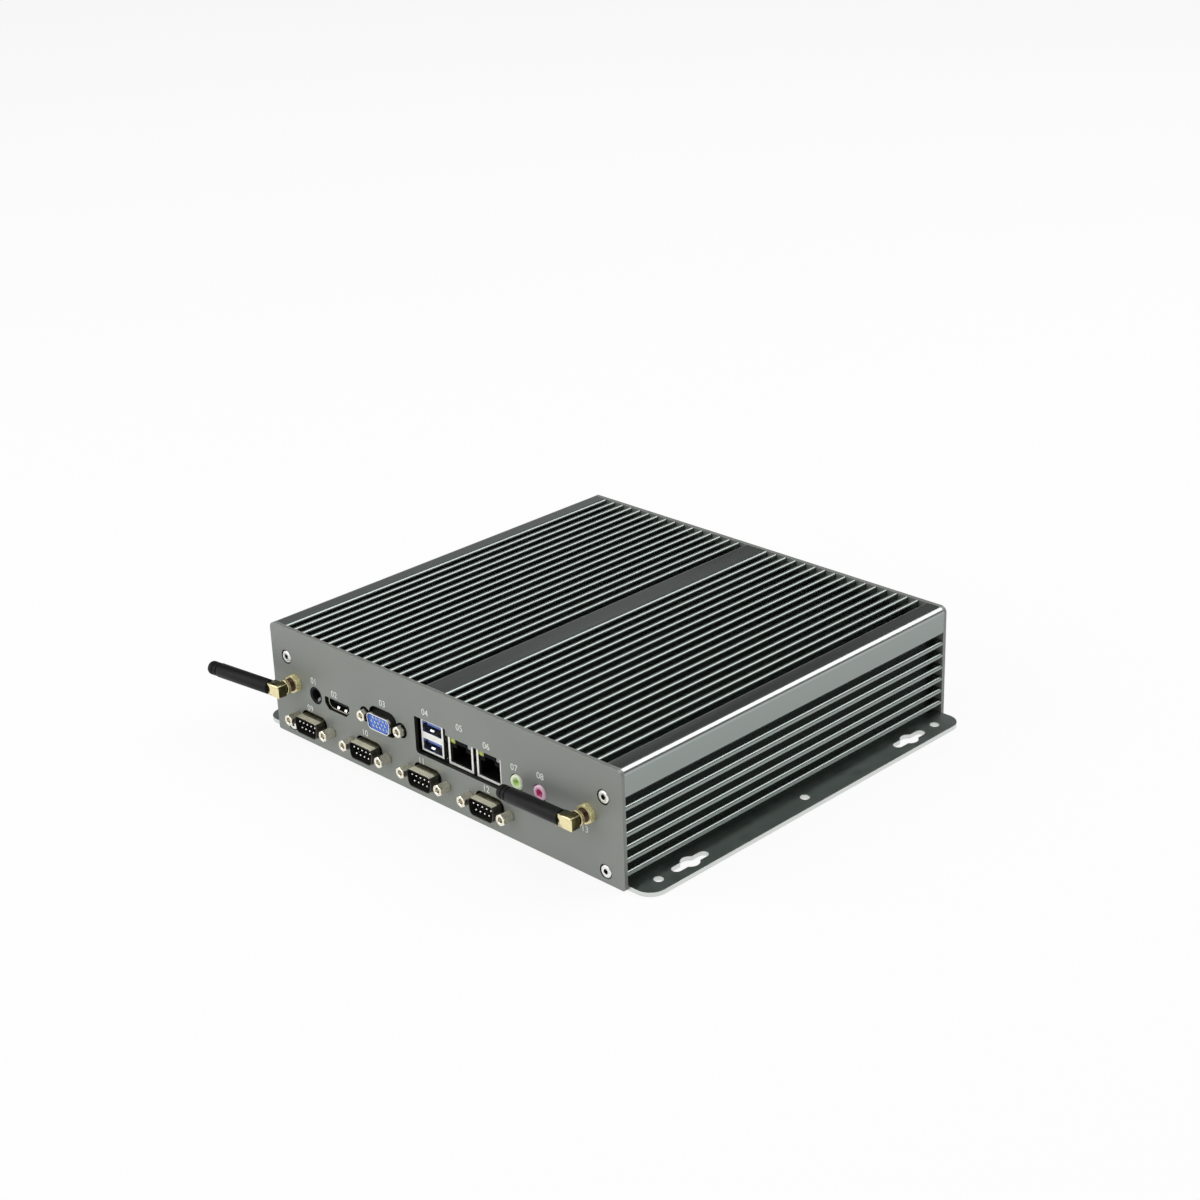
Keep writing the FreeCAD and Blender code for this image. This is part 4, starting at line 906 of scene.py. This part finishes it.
def video_socket():
    """Blue face with fifteen contact holes and a dark body, in a bright shell whose flange and all behind its
    rim get painted shade.
    """
    tubes, holes = video_contacts()
    face = cut_away(copy_of("video_insert"), holes)
    for part in face.faces:
        behind = part.calc_center_median().y > (FRONT + VIDEO_SETBACK) * MM
        part.material_index = DARK if behind else PLAIN
    piece("video_contact_face", face, [blue_plastic, black_plastic],
          nodes=["video_insert"])
    piece("video_contacts", tubes, [tin])
    shell = copy_of("video_shell")
    finish_behind(shell, FRONT - VIDEO_RIM, DARK)
    piece("video_shell_on_flange", shell, [tin, shade_black], nodes=["video_shell"])


def serial_shells():
    """Bright shells with painted shade and painted reflection on a band near the panel, painted shade on rims
    and flanks, and painted shade on linings and flanges.
    """
    finishes = [nickel, shade_black, shaded_flank_nickel, shaded_band_nickel]
    for number, x in zip(SERIALS, SERIAL_X):
        shell = copy_of(f"serial_{number}_shell")
        # Painted shade: a band near the panel, the flanges, the flanks and rims, and the linings
        finish_behind(shell, FRONT - SERIAL_BAND, SHADED_BAND)
        finish_behind(shell, FRONT + SERIAL_SETBACK - FLANGE_MARGIN, DARK)
        for face in shell.faces:
            flank = max(abs(face.normal.x), abs(face.normal.y)) > FLANK_LIMIT
            if flank and face.material_index != DARK:
                face.material_index = SHADED_FLANK
        dark_inside(shell, x, SERIAL_Z)
        piece(f"serial_{number}_lined_shell", shell, finishes,
              nodes=[f"serial_{number}_shell"])


def satin_rims():
    """Shells of the stacked and network sockets with satin front rims."""
    for node in ("usb_shell", "network_1_shell", "network_2_shell"):
        shell = copy_of(node)
        for face in shell.faces:
            face.material_index = int(face.normal.y < -RIM_LIMIT)
        piece(f"{node}_with_satin_rim", shell, [tin, satin_tin], nodes=[node], sharp=FLAT_TO)


def digital_shell():
    """Digital video shell with a bright rim and painted shade on its inside."""
    shell = copy_of("digital_video_shell")
    dark_inside(shell, DIGITAL_X, DIGITAL_Z)
    piece("digital_video_lined_shell", shell, [nickel, shade_black],
          nodes=["digital_video_shell"])


def socket_contacts():
    """Gold contacts of the stacked, network and digital video sockets."""
    bm = bmesh.new()
    for z in USB_PORTS:
        for across in USB_ACROSS:
            strip(bm, USB_X + across, z, USB_PATH, USB_STRIP)
    for x in NETWORK_X:
        for across in spaced(NETWORK_WIRES, NETWORK_PITCH):
            strip(bm, x + across, NETWORK_FLOOR, NETWORK_PATH, NETWORK_STRIP)
    for across in spaced(DIGITAL_STRIPS, DIGITAL_PITCH):
        strip(bm, DIGITAL_X + across, DIGITAL_TONGUE_TOP, DIGITAL_PATH, DIGITAL_STRIP)
    piece("socket_contacts", bm, [gold])


def socket_springs():
    """Spring leaves that grip the plugs in the stacked and digital video sockets."""
    bm = bmesh.new()
    for z in USB_PORTS:
        strip(bm, USB_X + USB_SPRING_SHIFT, z - USB_SPRING_DROP, USB_SPRING_PATH, USB_SPRING)
    for side in SIDES:
        x = DIGITAL_X + DIGITAL_SPRING_SHIFT + side * DIGITAL_SPRING_SIDE
        strip(bm, x, DIGITAL_FLOOR, DIGITAL_SPRING_PATH, DIGITAL_SPRING)
    piece("socket_springs", bm, [tin])


def power_spring():
    """Spring leaf at the side of the power inlet, its path a distance behind the front and from the axis."""
    bm = bmesh.new()
    lean = math.radians(DC_SPRING_LEAN)
    out = Vector((math.cos(lean), 0, math.sin(lean)))
    middle = Vector((DC_X, FRONT, DC_Z))
    points = [middle + out * off + Vector((0, depth, 0)) for depth, off in DC_SPRING_PATH]
    bar(bm, points, DC_SPRING, (-out.z, 0, out.x))
    piece("power_inlet_spring", bm, [spring_steel])


def audio_jacks():
    """Jacks with a painted highlight on their pale noses and painted shade in their deeper-coloured bores."""
    finishes = (("out", "green", green_plastic, green_bore), ("in", "pink", pink_plastic, pink_bore))
    for x, (way, colour, nose, bore) in zip(AUDIO_X, finishes):
        bm = copy_of(f"audio_{way}_jack")
        for face in bm.faces:
            off = max(math.hypot(v.co.x / MM - x, v.co.z / MM - AUDIO_Z) for v in face.verts)
            face.material_index = int(off < AUDIO_BORE_R + AUDIO_MARGIN)
        piece(f"audio_{way}_shaded_bore", bm, [nose, bore],
              nodes=[f"audio_{way}_jack"])


def lens_rings(size):
    """Rings of a rounded block with a flat-topped dome, at a share of the full size."""
    height, width = LENS_HALF_H * size, LENS_HALF_W * size
    rings = [(0, -LENS_DEPTH), (cushion(height, width, 1.0), -LENS_DEPTH)]
    for i in range(LENS_STEPS):
        a = math.pi / 2 * i / LENS_STEPS
        share = math.cos(a) ** LENS_ROUNDNESS
        rise = math.sin(a) ** LENS_ROUNDNESS
        rings.append((cushion(height, width, share), LENS_DOME * (rise - 1)))
    return rings + [(0, 0.0)]


def network_lights():
    """Domed light lenses in the upper corners of the network sockets."""
    for kind, side, size, lens in (("link", -1, 1.0, link_lens), ("speed", 1, 0.8, speed_lens)):
        bm = bmesh.new()
        for x in NETWORK_X:
            place = (x + side * LENS_SIDE, FRONT + LENS_SETBACK, NETWORK_TOP - LENS_DROP)
            turned(bm, place, lens_rings(size), LENS_SIDES)
        piece(f"network_{kind}_lenses", bm, [lens], nodes=[f"network_{kind}_lights"])


# Antennas

def barrel_rings():
    """Rings of a threaded barrel with its flange and bore."""
    flange_start, flange_end = BARREL_FLANGE_ENDS
    start, end = THREAD_ENDS
    rings = [(0, flange_start), (BARREL_FLANGE_R, flange_start), (BARREL_FLANGE_R, flange_end)]
    rings.append((BARREL_NECK_R, flange_end))
    for i in range(THREAD_STEPS + 1):
        along = start + (end - start) * i / THREAD_STEPS
        rings.append((thread(THREAD_R, THREAD_DEPTH, THREAD_PITCH, along), along))
    rings += [(BARREL_END_R, BARREL_END), (BARREL_MOUTH_R, BARREL_END)]
    rings += [(BARREL_BORE_R, BARREL_END - BARREL_MOUTH), (BARREL_BORE_R, BARREL_BORE_FLOOR)]
    return rings + [(0, BARREL_BORE_FLOOR - BARREL_BORE_TIP)]


def nut_rings():
    """Rings of a hexagonal nut with a chamfered front."""
    flats = hexagon(NUT_FLATS)
    rings = [(within(flats, NUT_FOOT_R), 0.0), (flats, NUT_FOOT)]
    rings += [(within(flats, NUT_END_R + NUT_SLOPE * cut), NUT_H - cut) for cut in NUT_CUTS]
    return rings + [(NUT_MOUTH_R, NUT_H), (COLLAR_BORE_R, NUT_H - NUT_MOUTH), (COLLAR_BORE_R, 0.0)]


def coupler_rings():
    """Rings of a knurled coupler with chamfered ends."""
    start, end = COUPLER_ENDS
    teeth = knurl(COUPLER_R, KNURL_DEPTH, KNURL_TEETH)
    outside = [(COUPLER_EDGE_R, start), (teeth, start + COUPLER_EDGE), (teeth, end - COUPLER_EDGE)]
    return outside + [(COUPLER_EDGE_R, end), (COLLAR_BORE_R, end), (COLLAR_BORE_R, start)]


def antenna_sockets():
    """Threaded barrels with their flanges, chamfered nuts and knurled couplers."""
    nuts = bmesh.new()
    couplers = bmesh.new()
    for side, (x, z) in ANTENNAS.items():
        place = (x, FRONT, z)
        bm = bmesh.new()
        # Barrel in brass darkened as painted shade
        turned(bm, place, barrel_rings(), FINE_SIDES)
        piece(f"antenna_{side}_threaded_socket", bm, [dark_brass],
              nodes=[f"antenna_{side}_socket"])
        turned(nuts, place, nut_rings(), FINE_SIDES, loop=True)
        turned(couplers, place, coupler_rings(), KNURL_SIDES, loop=True)
    piece("antenna_chamfered_nuts", nuts, [satin_gold], nodes=["antenna_nuts"])
    piece("antenna_knurled_couplers", couplers, [gold], nodes=["antenna_couplers"])


def antenna_elbows():
    """Elbow blocks with bright fronts and edges, and painted shade on their flat flanks."""
    for side in ANTENNAS:
        bm = copy_of(f"antenna_{side}_elbow")
        for face in bm.faces:
            face.material_index = int(max(abs(face.normal.x), abs(face.normal.z)) > FLAT_LIMIT)
        piece(f"antenna_{side}_block_elbow", bm, [gold, shaded_flank_gold], f"antenna_{side}",
              [f"antenna_{side}_elbow"])


def rod_rings():
    """Rings of a rod with two ring grooves near its rounded tip."""
    start, end = ROD_ENDS
    tip_start, tip = ROD_TIP_ENDS
    rings = [(0, ROD_PLUG_START), (ROD_PLUG_R, ROD_PLUG_START), (ROD_PLUG_R, start)]
    rings += rounded_start(ROD_R, start, ROD_START_ROUNDING, steps=2)
    rings += rounded_end(ROD_R, end, ROD_END_ROUNDING, steps=3)
    rings += rounded_start(ROD_RING_R, ROD_RING_ENDS[0], ROD_GROOVE_ROUNDING, steps=2)
    rings += rounded_end(ROD_RING_R, ROD_RING_ENDS[1], ROD_GROOVE_ROUNDING, steps=2)
    rings += rounded_start(ROD_RING_R, tip_start, ROD_GROOVE_ROUNDING, steps=2)
    rings += rounded_end(ROD_RING_R, tip, ROD_TIP_ROUNDING, steps=5)
    return rings + [(0, tip)]


def antenna_rods():
    """Smooth rods, each leaning as its antenna does at rest."""
    for side, (x, z) in ANTENNAS.items():
        bm = bmesh.new()
        turned(bm, (x, FRONT - ELBOW_MIDDLE, z), rod_rings(), FINE_SIDES, LEANS[side])
        piece(f"antenna_{side}_ringed_rod", bm, [rubber], f"antenna_{side}",
              [f"antenna_{side}_rod"])


# Printing

def numbers():
    """Plain printed numbers beside the sockets."""
    bm = bmesh.new()
    for number, (x, z) in enumerate(NUMBERS, 1):
        data = bpy.data.curves.new("number", "FONT")
        data.body = f"{number:02d}"
        data.size = NUMBER_SIZE * MM
        data.align_x = data.align_y = "CENTER"
        data.extrude = PRINT_T / 2 * MM
        obj = bpy.data.objects.new("number", data)
        bpy.context.scene.collection.objects.link(obj)
        drawn = obj.evaluated_get(bpy.context.evaluated_depsgraph_get())
        mesh = bpy.data.meshes.new_from_object(drawn)
        place = Vector((x, FRONT - PRINT_T / 2, z)) * MM
        mesh.transform(Matrix.Translation(place) @ Matrix.Rotation(math.pi / 2, 4, "X"))
        bm.from_mesh(mesh)
        bpy.data.objects.remove(obj)
        bpy.data.curves.remove(data)
        bpy.data.meshes.remove(mesh)
    for face in bm.faces:
        face.material_index = PLAIN
    piece("printed_numbers", bm, [print_white])


# Camera, floor and light

def camera():
    """Camera that sees the part as the photograph does."""
    heading, tilt, roll = map(math.radians, (CAMERA_HEADING, CAMERA_TILT, CAMERA_ROLL))
    ahead = Vector((math.cos(tilt) * math.cos(heading), math.cos(tilt) * math.sin(heading), math.sin(tilt)))
    level = ahead.cross(Vector((0, 0, 1))).normalized()
    right = level * math.cos(roll) + level.cross(ahead) * math.sin(roll)
    data = bpy.data.cameras.new("camera")
    data.sensor_width = SENSOR
    data.lens = SENSOR * FOCAL_PIXELS / PICTURE_PIXELS
    obj = bpy.data.objects.new("camera", data)
    turn = Matrix((right, right.cross(ahead), -ahead)).transposed().to_4x4()
    obj.matrix_world = Matrix.Translation(CAMERA_PLACE) @ turn
    bpy.context.scene.collection.objects.link(obj)
    bpy.context.scene.camera = obj


def floor_material():
    """Matt white that glows for rays which see the floor, so that it reads as white ground with a shadow."""
    material = bpy.data.materials.new("white_floor")
    material.use_nodes = True
    tree = material.node_tree
    tree.nodes.clear()
    rays = add(tree, "ShaderNodeLightPath").outputs
    seen = rays["Is Camera Ray"]
    for kind in ("Is Glossy Ray", "Is Transmission Ray"):
        seen = combine(tree, "MAXIMUM", seen, rays[kind])
    share = add(tree, "ShaderNodeMath", {1: FLOOR_GLOW}, operation="MULTIPLY")
    tree.links.new(seen, share.inputs[0])
    matt = add(tree, "ShaderNodeBsdfDiffuse", {"Color": FLOOR_WHITE})
    glow = add(tree, "ShaderNodeEmission", {"Color": WHITE, "Strength": 1.0})
    both = either_shader(tree, share.outputs[0], matt.outputs[0], glow.outputs[0])
    tree.links.new(both, add(tree, "ShaderNodeOutputMaterial").inputs[0])
    return material


def floor():
    """Wide floor just under the part."""
    bm = bmesh.new()
    bmesh.ops.create_grid(bm, x_segments=FLOOR_CELLS, y_segments=FLOOR_CELLS, size=FLOOR_SIZE)
    mesh = bpy.data.meshes.new("floor")
    bm.to_mesh(mesh)
    bm.free()
    obj = bpy.data.objects.new("floor", mesh)
    obj.location.z = -FLOOR_DROP
    bpy.context.scene.collection.objects.link(obj)
    mesh.materials.append(floor_material())


def sky_ramp(tree):
    """Brightness of the sky by the height of the direction."""
    ramp = add(tree, "ShaderNodeValToRGB")
    elements = ramp.color_ramp.elements
    while len(elements) < len(SKY):
        elements.new(0.5)
    for element, (height, level) in zip(elements, SKY):
        element.position = height
        element.color = (level, level, level, 1)
    way = add(tree, "ShaderNodeTexCoord").outputs["Generated"]
    tree.links.new(parts_of(tree, way)["Z"], ramp.inputs[0])
    return ramp.outputs[0]


def studio():
    """World that lights white from the horizon and dimly from overhead, behind a white backdrop."""
    world = bpy.data.worlds.new("studio")
    bpy.context.scene.world = world
    world.use_nodes = True
    tree = world.node_tree
    sky = tree.nodes["Background"]
    tree.links.new(sky_ramp(tree), sky.inputs["Color"])
    backdrop = add(tree, "ShaderNodeBackground", {"Color": WHITE, "Strength": 1.0})
    seen = add(tree, "ShaderNodeLightPath").outputs["Is Camera Ray"]
    both = either_shader(tree, seen, sky.outputs[0], backdrop.outputs[0])
    tree.links.new(both, tree.nodes["World Output"].inputs["Surface"])


def softbox(name, place, along, size, power):
    """Soft area lamp turned to the object, with its first side along a direction."""
    data = bpy.data.lights.new(name, "AREA")
    data.shape = "RECTANGLE"
    data.size, data.size_y = size
    data.energy = power
    obj = bpy.data.objects.new(name, data)
    back = (Vector(place) - Vector(LAMP_AIM)).normalized()
    side = (Vector(along) - back * back.dot(Vector(along))).normalized()
    turn = Matrix((side, back.cross(side), back)).transposed().to_4x4()
    obj.matrix_world = Matrix.Translation(place) @ turn
    bpy.context.scene.collection.objects.link(obj)


for make in (dress_nodes, front_panel, panel_screws, base_screws, jackscrews, serial_pins,
             video_socket, serial_shells, satin_rims, digital_shell, socket_contacts, socket_springs,
             power_spring, audio_jacks, network_lights, antenna_sockets, antenna_elbows, antenna_rods,
             numbers, camera, floor, studio):
    make()
for lamp in LAMPS:
    softbox(*lamp)
bpy.context.scene.view_settings.view_transform = "Standard"
